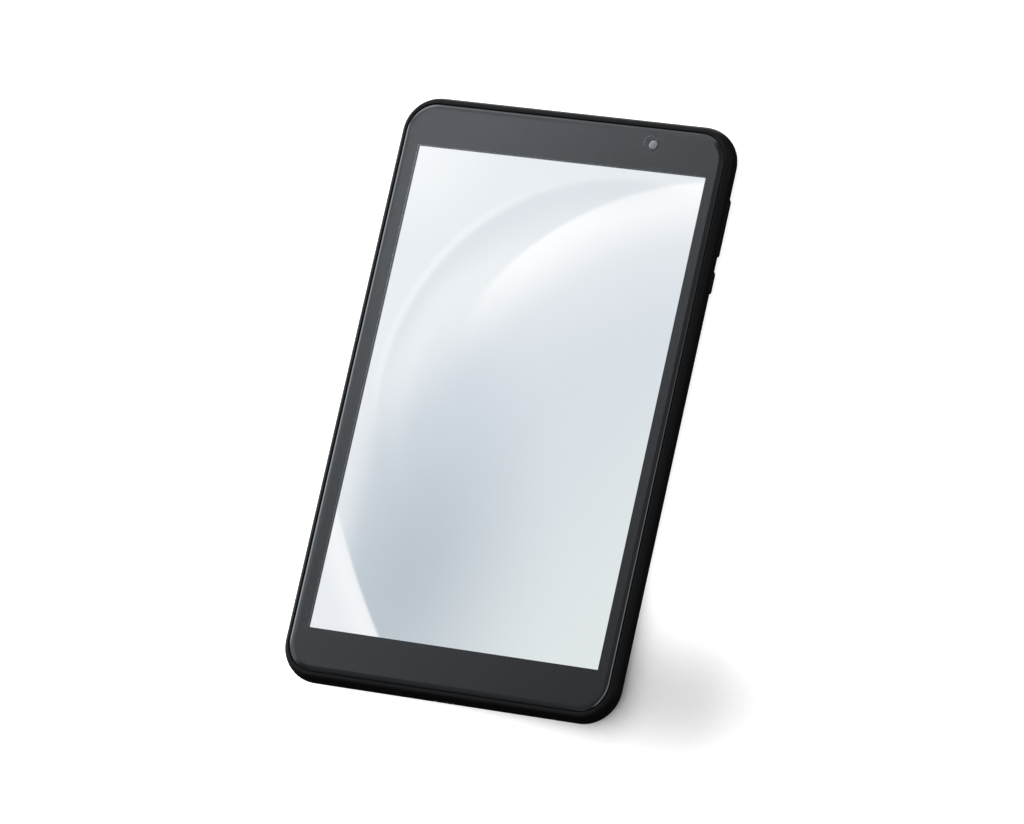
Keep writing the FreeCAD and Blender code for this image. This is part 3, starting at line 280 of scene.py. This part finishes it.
def wallpaper(s):
    """Pale grey-blue sweeps of light: a large disc with a bright rim, an outer band and a wedge."""

    def near(value, middle, reach):
        """1 at the middle, fading smoothly to 0 at the reach on either side."""
        return s.smooth(s.math("ABSOLUTE", s.math("SUBTRACT", value, middle)), 0.0, reach, 1.0, 0.0)

    def circle(x, y, radius):
        """Distance inwards from a circle in the screen's plane, in millimetres."""
        gap = s.distance(s.flat(), (x * MM, y * MM, 0.0))
        return s.math("SUBTRACT", radius, s.math("MULTIPLY", gap, 1 / MM))

    def slope(way_x, way_y, low, high, start=0.0, end=1.0):
        """From start to end along a way in the screen's plane, limits in millimetres."""
        return s.smooth(s.dot(s.position, (way_x / MM, way_y / MM, 0.0)), low, high, start, end)

    def spot(x, y, stretch_x, stretch_y, low, high):
        """1 inside an ellipse of light, 0 outside it."""
        flat = s.scaled(s.position, (stretch_x / MM, stretch_y / MM, 0.0))
        return s.smooth(s.distance(flat, (x * stretch_x, y * stretch_y, 0.0)), low, high, 1.0, 0.0)

    disc = circle(71.0, -22.0, 109.0)
    band = circle(30.0, 5.0, 79.0)
    wedge_edge = circle(200.0, 84.0, 283.0)
    edge = s.math("MULTIPLY", disc, slope(0.45, 0.9, 0.0, 60.0, 0.15, 1.0))
    in_disc = s.smooth(edge, -0.5, 2.0)
    off_disc = s.smooth(edge, -0.5, 2.0, 1.0, 0.0)
    wedge = s.smooth(wedge_edge, -2.0, -0.5, 1.0, 0.0)
    off_wedge = s.smooth(wedge_edge, -2.0, -0.5)
    upper = slope(0.45, 0.9, -5.0, 50.0)

    layers = (
        # Pool of shade low on the left, and a warmer lower right.
        (DUSK, 0.75, spot(-20.0, -75.0, 1.0, 0.55, 0.0, 60.0), off_wedge),
        (PEARL, 0.7, slope(0.85, -0.5, 0.0, 95.0)),
        # Disc: a tight and a wide glow inside its rim, and paler paper beyond it.
        (WHITE, 0.4, in_disc, s.smooth(disc, 0.0, 60.0, 1.0, 0.0), upper),
        (WHITE, 0.8, in_disc, s.smooth(disc, 0.0, 25.0, 1.0, 0.0), upper),
        (HAZE, 0.6, off_disc, slope(-0.3, 0.95, 10.0, 50.0)),
        (WHITE, 0.2, near(disc, 0.0, 20.0), slope(-0.35, 0.95, -5.0, 25.0),
         slope(0.3, 0.95, 35.0, 60.0, 1.0, 0.0)),
        # Band: a fine crest with shade inside it.
        (WHITE, 0.25, near(band, -0.5, 2.5), slope(-0.75, 0.65, 20.0, 45.0),
         slope(0.0, 1.0, 60.0, 80.0, 1.0, 0.0)),
        (DUSK, 0.2, s.smooth(band, 0.0, 3.0), s.smooth(band, 4.0, 18.0, 1.0, 0.0),
         slope(-0.6, 0.8, 30.0, 50.0)),
        (WHITE, 0.25, near(band, 9.0, 9.0), off_disc, slope(-0.9, 0.4, 10.0, 50.0),
         slope(0.0, 1.0, 30.0, 60.0, 1.0, 0.0)),
        # Light in the top left corner and down the left side.
        (WHITE, 0.4, spot(-60.0, 90.0, 1.0, 1.0, 5.0, 45.0)),
        (WHITE, 0.4, slope(1.0, 0.0, -55.0, -40.0, 1.0, 0.0),
         slope(0.0, 1.0, 0.0, 45.0, 1.0, 0.0), off_wedge),
        # Wedge in the lower left corner, with a streak along its edge.
        (WHITE, 0.45, wedge),
        (WHITE, 0.4, wedge, near(wedge_edge, -5.0, 8.0)),
    )
    total = MIST
    for colour, amount, *masks in layers:
        total = s.mix(s.product(amount, *masks), total, colour)
    return total


def screen():
    """Lit panel: wallpaper in the active area, black matrix and polished polariser round it."""
    s = Surface("screen_lit")
    front = s.math("GREATER_THAN", s.z, LCD_HIGH.z - 0.01 * MM)
    lit = s.math("MULTIPLY", s.inside(ACTIVE_X, ACTIVE_Y), front)
    grain = s.noise(s.position, 2500.0, 1.0)
    black = s.mix(grain, (0.006, 0.006, 0.007), (0.009, 0.009, 0.010))
    shader = s.principled(
        base_color=black, roughness=0.2, specular=0.2,
        emission_color=wallpaper(s), emission_strength=lit)
    return s.finish(shader)


def border_ink():
    """Screen-printed border on the back of the glass, grey-black, with the gloss of the glass."""
    s = Surface("border_ink")
    grain = s.noise(s.position, 6000.0, 2.0)
    cloud = s.noise(s.position, 40.0, 2.0)
    tone = s.mix(cloud, shade(PRINT, 0.93), shade(PRINT, 1.07))
    tone = s.mix(grain, shade(PRINT, 0.95), tone)
    rough = s.linear(cloud, 0.3, 0.7, 0.03, 0.05)
    return s.finish(s.principled(base_color=tone, roughness=rough, specular=0.5))


def circuit_board():
    """Blue-black solder mask with raised tracks and gold pads."""
    s = Surface("solder_mask")
    mask = s.noise(s.position, 300.0, 2.0)
    tone = s.mix(mask, (0.006, 0.020, 0.040), (0.010, 0.034, 0.060))
    tracks = s.cells(s.scaled(s.position, (1.0, 1.0, 0.1)), 700.0, "DISTANCE_TO_EDGE")
    on_track = s.math("LESS_THAN", tracks, 0.05)
    tone = s.mix(on_track, tone, (0.020, 0.070, 0.095))
    holes = s.cells(s.scaled(s.position, (1.0, 1.0, 0.0)), 450.0)
    pad = s.math("LESS_THAN", holes, 0.13)
    tone = s.mix(pad, tone, (0.80, 0.58, 0.25))
    shader = s.principled(
        base_color=tone, metallic=pad, roughness=s.linear(mask, 0.2, 0.8, 0.25, 0.4),
        normal=s.bump(on_track, 0.02 * MM))
    return s.finish(shader)


def ribbon():
    """Amber polyimide with copper tracks along it."""
    s = Surface("amber_ribbon")
    line = s.math("PINGPONG", s.math("ADD", s.x, s.math("MULTIPLY", s.z, 0.3)), 0.2 * MM)
    track = s.smooth(line, 0.08 * MM, 0.11 * MM)
    cloud = s.noise(s.position, 200.0, 2.0)
    film = s.mix(cloud, (0.17, 0.075, 0.015), (0.24, 0.11, 0.025))
    tone = s.mix(track, film, (0.42, 0.20, 0.075))
    shader = s.principled(
        base_color=tone, roughness=s.linear(cloud, 0.2, 0.8, 0.28, 0.42),
        normal=s.bump(track, 0.01 * MM))
    return s.finish(shader)


def lamp_strip():
    """White ribbon with yellow phosphor windows facing the light guide."""
    s = Surface("lamp_strip")
    lamp = s.math("GREATER_THAN", s.z, LAMP_BASE)
    window = s.math("GREATER_THAN", s.y, LAMP_FRONT)
    grain = s.noise(s.position, 1500.0, 2.0)
    white = s.mix(grain, (0.72, 0.72, 0.69), (0.85, 0.85, 0.82))
    yellow = s.mix(grain, (0.80, 0.60, 0.09), (0.92, 0.72, 0.16))
    tone = s.mix(s.math("MULTIPLY", lamp, window), white, yellow)
    shader = s.principled(base_color=tone, roughness=0.4, normal=s.bump(grain, 0.005 * MM))
    return s.finish(shader)


def light_guide():
    """Clear acrylic with printed extraction dots."""
    s = Surface("acrylic_guide")
    dots = s.cells(s.scaled(s.position, (1.0, 1.0, 0.0)), 1250.0, randomness=0.0)
    dot = s.math("LESS_THAN", dots, 0.22)
    tone = s.mix(dot, (0.86, 0.90, 0.91), (0.97, 0.97, 0.97))
    shader = s.principled(
        base_color=tone, roughness=s.linear(dot, 0.0, 1.0, 0.04, 0.5),
        transmission_weight=0.9, ior=1.49)
    return s.finish(shader)


def milky_film(name, colour, metallic=0.0, roughness=0.3):
    """Diffusing film with fine prism lines across it."""
    s = Surface(name)
    prism = s.node("TexWave", {"Vector": s.position, "Scale": 6000.0}, bands_direction="Y")
    tone = s.mix(s.noise(s.position, 80.0), shade(colour, 0.94), shade(colour, 1.04))
    shader = s.principled(
        base_color=tone, metallic=metallic, roughness=roughness,
        normal=s.bump(prism.outputs["Fac"], 0.004 * MM))
    return s.finish(shader)


def battery_wrap():
    """Black film over a laminate pouch: slight crinkles, paler on their crests and darker in their
    hollows as painted shade, and a satin sheen.
    """
    s = Surface("battery_wrap")
    crinkle = s.noise(s.scaled(s.position, (1.0, 0.6, 1.0)), 130.0, 5.0, 0.55)
    fine = s.noise(s.position, 3000.0, 2.0)
    # Painted shade: the crinkles' hollows darker and their crests paler.
    tone = s.mix(crinkle, (0.018, 0.018, 0.020), (0.032, 0.032, 0.035))
    height = s.math("ADD", crinkle, s.math("MULTIPLY", fine, 0.03))
    shader = s.principled(
        base_color=tone, roughness=s.linear(crinkle, 0.3, 0.7, 0.32, 0.48),
        normal=s.bump(height, 0.15 * MM))
    return s.finish(shader)


def tinted_window(name, tint, coat):
    """Dark camera window: mostly clear, with a faint coating colour at grazing angles."""
    s = Surface(name)
    fresnel = s.node("Fresnel", {"IOR": 1.5}).outputs[0]
    back = s.node("NewGeometry").outputs["Backfacing"]
    share = s.math("MULTIPLY", fresnel, s.math("SUBTRACT", 1.0, back))
    dust = s.noise(s.position, 900.0, 2.0)
    colour = s.mix(dust, shade(tint, 0.97), tint)
    through = s.node("BsdfTransparent", {"Color": colour}).outputs[0]
    gloss = s.node("BsdfGlossy", {"Color": (*coat, 1.0), "Roughness": 0.03}).outputs[0]
    return s.finish(s.blend(share, through, gloss))


def lens(name, centre, pupil, radius):
    """Coated front element: a darker pupil in a pale coated ring, and a black rim."""
    s = Surface(name)
    away = s.distance(s.flat(), (centre.x, centre.y, 0.0))
    inner = s.smooth(away, pupil * 0.75, pupil)
    outer = s.smooth(away, radius * 0.85, radius)
    cloud = s.noise(s.position, 1500.0, 1.0)
    coat = s.mix(cloud, (0.17, 0.172, 0.183), (0.23, 0.232, 0.243))
    tone = s.mix(inner, (0.132, 0.134, 0.145), coat)
    tone = s.mix(outer, tone, (0.03, 0.03, 0.033))
    shader = s.principled(
        base_color=tone, roughness=0.12, specular=0.6, coat_weight=0.6, coat_roughness=0.03)
    return s.finish(shader)


def chip_epoxy():
    """Black moulding compound with a fine speckle."""
    s = Surface("chip_epoxy")
    speckle = s.noise(s.position, 8000.0, 3.0)
    tone = s.mix(speckle, (0.014, 0.014, 0.015), (0.028, 0.028, 0.029))
    shader = s.principled(
        base_color=tone, roughness=s.linear(speckle, 0.3, 0.7, 0.38, 0.55),
        normal=s.bump(speckle, 0.004 * MM))
    return s.finish(shader)


def slot_materials():
    """Material for each slot of the record."""
    along_x = (0.04, 1.0, 1.0)
    along_y = (1.0, 0.04, 1.0)
    return {
        "rear_shell": moulded("rear_shell_satin", (0.0045, 0.0045, 0.0048), 0.42, specular=0.1),
        "frame_plastic": moulded(
            "frame_satin", (0.0045, 0.0045, 0.0048), 0.34, specular=0.1, depth=0.002 * MM),
        "key_plastic": moulded(
            "key_satin", (0.004, 0.004, 0.0043), 0.36, specular=0.1, depth=0.002 * MM),
        "cover_glass": clear_glass(),
        "adhesive": soft_foam("adhesive_foam", (0.012, 0.012, 0.012), 0.12 * MM),
        "touch_film": clear_film("touch_film", (0.99, 0.99, 0.99)),
        "flex": ribbon(),
        "gasket": soft_foam("gasket_foam", (0.010, 0.010, 0.010)),
        "lcd": screen(),
        "film": milky_film("diffuser_film", (0.84, 0.85, 0.86)),
        "light_guide": light_guide(),
        "reflector": milky_film("reflector_film", (0.9, 0.9, 0.91), metallic=1.0, roughness=0.12),
        "led": lamp_strip(),
        "pressed_steel": metal("pressed_steel", (0.55, 0.55, 0.56), 0.32, along_x),
        "plate_metal": metal("plate_steel", (0.42, 0.43, 0.44), 0.45, along_y),
        "brass": metal("turned_brass", (0.72, 0.55, 0.27), 0.28, (1.0, 1.0, 6.0), 2500.0),
        "screw_steel": metal("screw_black_zinc", (0.16, 0.16, 0.17), 0.38, scale=2500.0),
        "circuit_board": circuit_board(),
        "chip": chip_epoxy(),
        "thermal_pad": moulded(
            "silicone_pad", (0.25, 0.27, 0.30), 0.7, grain=0.5 * MM, depth=0.02 * MM),
        "connector": moulded("connector_lcp", (0.03, 0.03, 0.03), 0.5, grain=0.1 * MM),
        "battery": battery_wrap(),
        "wire": moulded("wire_pvc", (0.30, 0.010, 0.010), 0.35, grain=0.5 * MM, depth=0.003 * MM),
        "black_plastic": moulded("black_moulding", (0.016, 0.016, 0.017), 0.42),
        "driver": metal("driver_dome", (0.5, 0.5, 0.52), 0.3, scale=1800.0),
        "mesh": metal("mesh_wire", (0.05, 0.05, 0.052), 0.45, scale=4000.0),
        "port_steel": metal("port_steel", (0.55, 0.55, 0.56), 0.25, along_y, 1800.0),
        "lens_glass": lens("front_lens_coated", LENS_CENTRE, 1.1 * MM, 1.95 * MM),
        "window_glass": tinted_window("rear_window", (0.55, 0.55, 0.57), (0.9, 0.92, 1.0)),
        "ring_metal": metal("ring_anodised", (0.035, 0.035, 0.038), 0.3, scale=3000.0),
        "spring_metal": metal("gold_contact", (0.83, 0.62, 0.28), 0.22, scale=3000.0),
    }


materials = slot_materials()
for part in frame["record"]["subparts"]:
    cad = nodes[part["node"]]
    cad.data.materials.clear()
    cad.data.materials.append(materials[part["material_slot"]])


# ---- Shapes ------------------------------------------------------------------------------
def link(name, mesh, material, smooth=True):
    """New object with one material."""
    made = bpy.data.objects.new(name, mesh)
    bpy.context.scene.collection.objects.link(made)
    mesh.materials.clear()
    mesh.materials.append(material)
    for polygon in mesh.polygons:
        polygon.use_smooth = smooth
    return made


def from_bmesh(name, shape, material, smooth=False):
    """New object from a bmesh, whose faces all turn outwards."""
    bmesh.ops.recalc_face_normals(shape, faces=shape.faces)
    mesh = bpy.data.meshes.new(name)
    shape.to_mesh(mesh)
    shape.free()
    return link(name, mesh, material, smooth)


def join_rings(shape, rings, closed=False):
    """Faces between each ring of vertices and the next, and caps where the row of rings ends."""
    count = len(rings[0])
    following = rings[1:] + rings[:1] if closed else rings[1:]
    for here, there in zip(rings, following):
        for i in range(count):
            j = (i + 1) % count
            shape.faces.new((here[i], here[j], there[j], there[i]))
    if not closed:
        shape.faces.new(rings[0])
        shape.faces.new(rings[-1])


def rounded_outline(half_x, half_y, radius, centre=(0.0, 0.0), steps=16):
    """Points of a rounded rectangle, anticlockwise."""
    points = []
    for corner, (sign_x, sign_y) in enumerate(((1, 1), (-1, 1), (-1, -1), (1, -1))):
        middle_x = centre[0] + sign_x * (half_x - radius)
        middle_y = centre[1] + sign_y * (half_y - radius)
        for step in range(steps + 1):
            angle = math.pi / 2 * (corner + step / steps)
            points.append((middle_x + radius * math.cos(angle), middle_y + radius * math.sin(angle)))
    return points


def round_outline(centre, radius, steps=64):
    """Points of a circle, anticlockwise."""
    turn = 2 * math.pi / steps
    return [
        (centre[0] + radius * math.cos(turn * i), centre[1] + radius * math.sin(turn * i))
        for i in range(steps)
    ]


def flat_sheet(name, outlines, low, high, material):
    """Thin sheet between two heights, with every outline after the first a hole in it."""
    curve = bpy.data.curves.new(name, "CURVE")
    curve.dimensions = "2D"
    curve.fill_mode = "BOTH"
    curve.extrude = (high - low) / 2
    for outline in outlines:
        spline = curve.splines.new("POLY")
        spline.points.add(len(outline) - 1)
        for point, (x, y) in zip(spline.points, outline):
            point.co = (x, y, 0.0, 1.0)
        spline.use_cyclic_u = True
    shape = bpy.data.objects.new(name + "_outline", curve)
    mesh = bpy.data.meshes.new_from_object(shape)
    bpy.data.objects.remove(shape)
    for vertex in mesh.vertices:
        vertex.co.z += (low + high) / 2
    return link(name, mesh, material, smooth=False)


def turned(name, profile, centre, material, steps=96):
    """Surface of revolution about an upright axis. profile is a closed loop of (radius, height)."""
    shape = bmesh.new()
    rings = []
    for step in range(steps):
        angle = 2 * math.pi * step / steps
        rings.append([
            shape.verts.new((centre[0] + r * math.cos(angle), centre[1] + r * math.sin(angle), z))
            for r, z in profile
        ])
    join_rings(shape, rings, closed=True)
    return from_bmesh(name, shape, material, smooth=True)


# ---- Printed border under the glass ------------------------------------------------------
ink = flat_sheet(
    "printed_border",
    [
        rounded_outline(GLASS_HIGH.x - 0.05 * MM, GLASS_HIGH.y - 0.05 * MM, 10.15 * MM),
        rounded_outline(ACTIVE_X + WINDOW_GAP, ACTIVE_Y + WINDOW_GAP, 0.2 * MM, steps=4),
        round_outline(LENS_PLACE, CAMERA_WINDOW_R),
    ],
    INK_LOW, INK_HIGH, border_ink())
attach(ink, "tablet")


# ---- Cameras -----------------------------------------------------------------------------
def baffle(name, inner, outer, low, high, place, steps=3):
    """Matt black ring over a lens, whose opening widens outwards in fine steps."""
    rise = (high - low) / steps
    run = 0.05 * MM
    profile = [(outer, low), (inner, low)]
    for step in range(1, steps + 1):
        top = low + rise * step
        profile += [(inner + run * (step - 1), top), (inner + run * step, top)]
    profile += [(outer, high)]
    flock = soft_foam(name + "_flock", (0.008, 0.008, 0.008), 0.05 * MM)
    made = turned(name, profile, place, flock)
    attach(made, "tablet")


front_low, front_high = LENS_HIGH.z + 0.02 * MM, LENS_HIGH.z + 0.2 * MM
baffle("front_baffle", 1.6 * MM, 1.97 * MM, front_low, front_high, LENS_PLACE)
rear_place = (REAR_CENTRE.x, REAR_CENTRE.y)
rear_low, rear_high = REAR_HIGH.z + 0.13 * MM, REAR_HIGH.z + 0.03 * MM
baffle("rear_baffle", 1.25 * MM, 3.2 * MM, rear_low, rear_high, rear_place)


# ---- Contacts in the ports ---------------------------------------------------------------
def add_pad(shape, x, y, z, size_x, height):
    """Plated pad with sloping sides. y holds its limits, and height is signed."""
    slope = 0.03 * MM
    half = size_x / 2
    rings = []
    for inset, level in ((0.0, z), (slope, z + height)):
        corners = (
            (x - half + inset, y[0] + inset), (x + half - inset, y[0] + inset),
            (x + half - inset, y[1] - inset), (x - half + inset, y[1] - inset))
        rings.append([shape.verts.new((*corner, level)) for corner in corners])
    join_rings(shape, rings)


def usb_contacts():
    """Twelve pads on each face of the tongue. The power and ground pads reach nearer its tip."""
    shape = bmesh.new()
    half_thickness = 0.35 * MM
    middle = (TONGUE_LOW.z + TONGUE_HIGH.z) / 2
    tip = TONGUE_LOW.y
    for face in (-1, 1):
        for index in range(12):
            x = (index - 5.5) * 0.5 * MM
            start = tip + (0.35 if index in (0, 3, 8, 11) else 0.7) * MM
            y = (start, tip + 4.1 * MM)
            add_pad(shape, x, y, middle + face * half_thickness, 0.28 * MM, face * 0.025 * MM)
    made = from_bmesh("usb_c_contacts", shape, materials["spring_metal"])
    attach(made, "tablet")


def jack_contacts():
    """Leaf springs along both sides of the headphone bore, each with a rounded bump inwards."""
    shape = bmesh.new()
    jack_low, jack_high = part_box("headphone_jack")
    axis_x = (jack_low.x + jack_high.x) / 2
    axis_z = 3.7 * MM
    leaf, thick, half_width = 3.4 * MM, 0.1 * MM, 0.45 * MM
    steps = 24
    for side, start in ((-1, 2.0 * MM), (1, 3.6 * MM), (-1, 6.2 * MM), (1, 7.6 * MM)):
        rings = []
        for step in range(steps + 1):
            part = step / steps
            bump = 0.4 * MM * math.exp(-((part - 0.5) / 0.16) ** 2)
            x = axis_x + side * (1.7 * MM - bump)
            y = jack_low.y + start + leaf * part
            back = x - side * thick
            corners = ((x, -half_width), (x, half_width), (back, half_width), (back, -half_width))
            rings.append([shape.verts.new((cx, y, axis_z + cz)) for cx, cz in corners])
        join_rings(shape, rings)
    made = from_bmesh("jack_contacts", shape, materials["spring_metal"], smooth=True)
    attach(made, "tablet")


usb_contacts()
jack_contacts()


# ---- Woven dust screens behind the speaker grilles ---------------------------------------
def add_wire(shape, points, radius):
    """Four-sided wire through the points, which run along X or Z."""
    along_x = abs(points[-1][0] - points[0][0]) > abs(points[-1][2] - points[0][2])
    rings = []
    for x, y, z in points:
        ring = []
        for a, b in ((radius, 0.0), (0.0, radius), (-radius, 0.0), (0.0, -radius)):
            place = (x, y + a, z + b) if along_x else (x + b, y + a, z)
            ring.append(shape.verts.new(place))
        rings.append(ring)
    join_rings(shape, rings)


def speaker_screens():
    """Plain weave, half a wire's thickness over and under at each crossing."""
    low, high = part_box("speaker_mesh")
    centre_z = (low.z + high.z) / 2
    centre_y = (low.y + high.y) / 2
    half_height = (high.z - low.z) / 2
    half_length = 6.1 * MM
    pitch, radius, lift = 0.2 * MM, 0.028 * MM, 0.024 * MM
    columns = int(half_length / pitch)
    rows = int(half_height / pitch)
    shape = bmesh.new()
    for middle in (low.x + half_length, high.x - half_length):
        for row in range(-rows + 1, rows):
            z = row * pitch
            reach = half_length - half_height + math.sqrt(half_height ** 2 - z ** 2)
            points = []
            for column in range(-int(reach / pitch), int(reach / pitch) + 1):
                over = 1 if (row + column) % 2 else -1
                points.append((middle + column * pitch, centre_y + over * lift, centre_z + z))
            add_wire(shape, points, radius)
        for column in range(-columns + 1, columns):
            x = column * pitch
            beyond = max(abs(x) - (half_length - half_height), 0.0)
            reach = math.sqrt(half_height ** 2 - beyond ** 2)
            points = []
            for row in range(-int(reach / pitch), int(reach / pitch) + 1):
                over = -1 if (row + column) % 2 else 1
                points.append((middle + x, centre_y + over * lift, centre_z + row * pitch))
            if len(points) > 1:
                add_wire(shape, points, radius)
    made = from_bmesh("speaker_screens", shape, materials["mesh"], smooth=True)
    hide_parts("speaker_mesh")
    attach(made, "tablet")


speaker_screens()


# ---- Stage: floor, world, light and camera -----------------------------------------------
PANEL_EDGE = 0.446         # where the main panel's light has fallen to PANEL_LEVEL
PANEL_FADE = 21.5          # how fast it falls off from there
PANEL_LEVEL = 1.25
PANEL_MOST = 2.5
LAMP_LEVEL = 5.0
SPOT_LEVEL = 3.5
FLOOR_DROP = 0.02 * MM     # the floor lies this far below the back, so that they don't flicker
# Painted dark reflection: the floor's colour for reflections and bounced light past the keys and the
# bottom.
PAINTED_DARK_REFLECTION = (0.02, 0.02, 0.02)   # what the side walls reflect of the floor


def make_floor():
    """White paper that glows for the camera, turned down by one corner: a painted shadow there,
    through which the suns' real shadow shows.

    Past the key side and the bottom it turns dark for reflections and bounced light only, as if a
    black card lay there: a painted dark reflection in the side walls.
    """
    half = 30.0
    mesh = bpy.data.meshes.new("floor")
    corners = [(-half, -half, 0), (half, -half, 0), (half, half, 0), (-half, half, 0)]
    mesh.from_pydata(corners, [], [(0, 1, 2, 3)])
    s = Surface("floor_paper")
    grain = s.noise(s.position, 400.0, 2.0)
    white = s.mix(grain, (0.69, 0.69, 0.69), (0.71, 0.71, 0.71))

    # Painted dark reflection: only reflections and bounced light see the floor dark, past the keys
    # and the bottom edge, as if a black card lay there.
    past_keys = s.math(
        "SUBTRACT", s.smooth(s.x, 0.045, 0.06, 0.0, 0.94), s.smooth(s.x, 0.066, 0.085, 0.0, 0.5))
    past_bottom = s.smooth(s.y, -0.105, -0.085, 1.0, 0.0)
    dark_reflection_mask = s.math("MAXIMUM", past_keys, past_bottom)
    seen = s.node("LightPath").outputs["Is Camera Ray"]
    unseen = s.math("SUBTRACT", 1.0, seen)
    tone = s.mix(s.math("MULTIPLY", dark_reflection_mask, unseen), white, PAINTED_DARK_REFLECTION)

    # Painted shadow: the camera sees the paper glow white, turned down in a stretched ellipse by one
    # corner, where the suns' real shadow then shows; elsewhere the glow hides it.
    stretched = s.scaled(s.position, (1.0, 2.3, 0.0))
    glow_except_painted_shadow = s.smooth(s.distance(stretched, (0.083, -0.207, 0.0)), 0.0, 0.11, 0.0, 0.8)
    shader = s.principled(
        base_color=tone, roughness=1.0, specular=0.0, emission_color=(1.0, 1.0, 1.0),
        emission_strength=s.math("MULTIPLY", glow_except_painted_shadow, seen))
    material = s.finish(shader)
    floor = link("floor", mesh, material, smooth=False)
    floor.location.z = -FLOOR_DROP


def make_world():
    """Studio dome: a soft panel up to the left of the screen, fading fast towards the key side."""
    world = bpy.data.worlds.new("studio")
    world.use_nodes = True
    bpy.context.scene.world = world
    t = Tree(world.node_tree)
    way = t.node("TexCoord").outputs["Generated"]
    east, north, up = t.node("SeparateXYZ", {0: way}).outputs

    # Main panel, up to the left: its light falls off along one line across the sky.
    rise = t.math("SUBTRACT", t.dot(way, (-0.8, 0.6, 0.0)), PANEL_EDGE)
    falling = t.math("EXPONENT", t.math("MULTIPLY", rise, PANEL_FADE))
    overhead = t.smooth(up, 0.8, 0.92, 0.06, 0.33)
    panel = t.math("MAXIMUM", t.math("MULTIPLY", falling, PANEL_LEVEL), overhead)
    beyond_top = t.smooth(north, 0.26, 0.34, 1.0, 0.65)
    beyond_left = t.smooth(east, -0.54, -0.46, 0.7, 1.0)
    near_horizon = t.smooth(up, 0.1, 0.45, 0.3, 1.0)
    panel = t.math("MINIMUM", panel, PANEL_MOST)
    total = t.product(panel, beyond_top, beyond_left, near_horizon)

    # Low lamp on the left, which draws the line along the glass's left edge.
    level = t.math("ABSOLUTE", t.math("SUBTRACT", north, 0.2))
    low_lamp = t.smooth(level, 0.05, 0.18, LAMP_LEVEL, 0.0)
    total = t.math("ADD", total, t.product(low_lamp, t.smooth(east, -0.83, -0.75, 1.0, 0.0)))

    # Faint light from the lower right, and a dim wall on the key side.
    low_right = t.smooth(t.dot(way, (0.7, -0.7, 0.0)), 0.6, 0.85)
    total = t.math("ADD", total, t.product(low_right, t.smooth(up, 0.28, 0.42, 0.2, 0.0)))
    key_wall = t.smooth(t.dot(way, (0.98, 0.2, 0.0)), 0.3, 0.65, 0.0, 0.6)
    total = t.math("ADD", total, key_wall)

    # Strip lamp overhead, which draws the line along the glass's right edge.
    across = t.math("SUBTRACT", t.dot(way, (0.935, -0.354, 0.0)), 0.073)
    strip = t.smooth(t.math("ABSOLUTE", across), 0.0, 0.045, LAMP_LEVEL, 0.0)
    strip_end = t.smooth(north, 0.16, 0.24, 1.0, 0.0)
    total = t.math("ADD", total, t.product(strip, strip_end, t.smooth(up, 0.5, 0.8)))

    # Round lamp behind the upper left corner.
    spot = t.smooth(t.distance(way, (-0.62, 0.57, 0.55)), 0.12, 0.3, SPOT_LEVEL, 0.0)
    total = t.math("ADD", total, t.product(spot, t.smooth(up, 0.48, 0.56)))
    path = t.node("LightPath").outputs
    tint = t.mix(path["Is Glossy Ray"], (0.98, 0.98, 0.98), (0.915, 0.985, 1.06))
    glow = t.node("Background", {"Color": tint, "Strength": total}).outputs[0]
    white = t.node("Background", {"Color": (1.0, 1.0, 1.0, 1.0), "Strength": 1.0}).outputs[0]
    shader = t.node("MixShader", {0: path["Is Camera Ray"], 1: glow, 2: white}).outputs[0]
    t.link_output("OutputWorld", shader)


def make_sun(name, towards, strength, angle):
    """Distant soft light shining from the given direction, and not mirrored in the glass."""
    data = bpy.data.lights.new(name, "SUN")
    data.energy = strength
    data.angle = math.radians(angle)
    lamp = bpy.data.objects.new(name, data)
    lamp.rotation_euler = Vector(towards).to_track_quat("Z", "Y").to_euler()
    lamp.visible_glossy = False
    bpy.context.scene.collection.objects.link(lamp)


def make_camera():
    """Long lens, looking at the screen from above and from the key side."""
    lean = math.radians(30)
    upright = Vector((0.0, math.cos(lean), math.sin(lean)))
    back = Vector((0.41234, -0.19388, 0.89016)).normalized()
    right = upright.cross(back).normalized()
    up = back.cross(right)
    data = bpy.data.cameras.new("camera")
    data.lens = 223.8
    data.sensor_width = 36.0
    data.clip_end = 200.0
    camera = bpy.data.objects.new("camera", data)
    camera.location = (0.89143, -0.42087, 1.9263)
    axes = [[axis[i] for axis in (right, up, back)] for i in range(3)]
    camera.rotation_euler = Matrix(axes).to_euler()
    bpy.context.scene.collection.objects.link(camera)
    bpy.context.scene.camera = camera


make_floor()
make_world()
make_sun("overhead", (-0.25, 0.1, 1.0), 1.0, 70.0)
make_sun("key", (-0.92, 0.25, 0.14), 8.0, 14.0)
make_camera()
bpy.context.scene.view_settings.view_transform = "Standard"
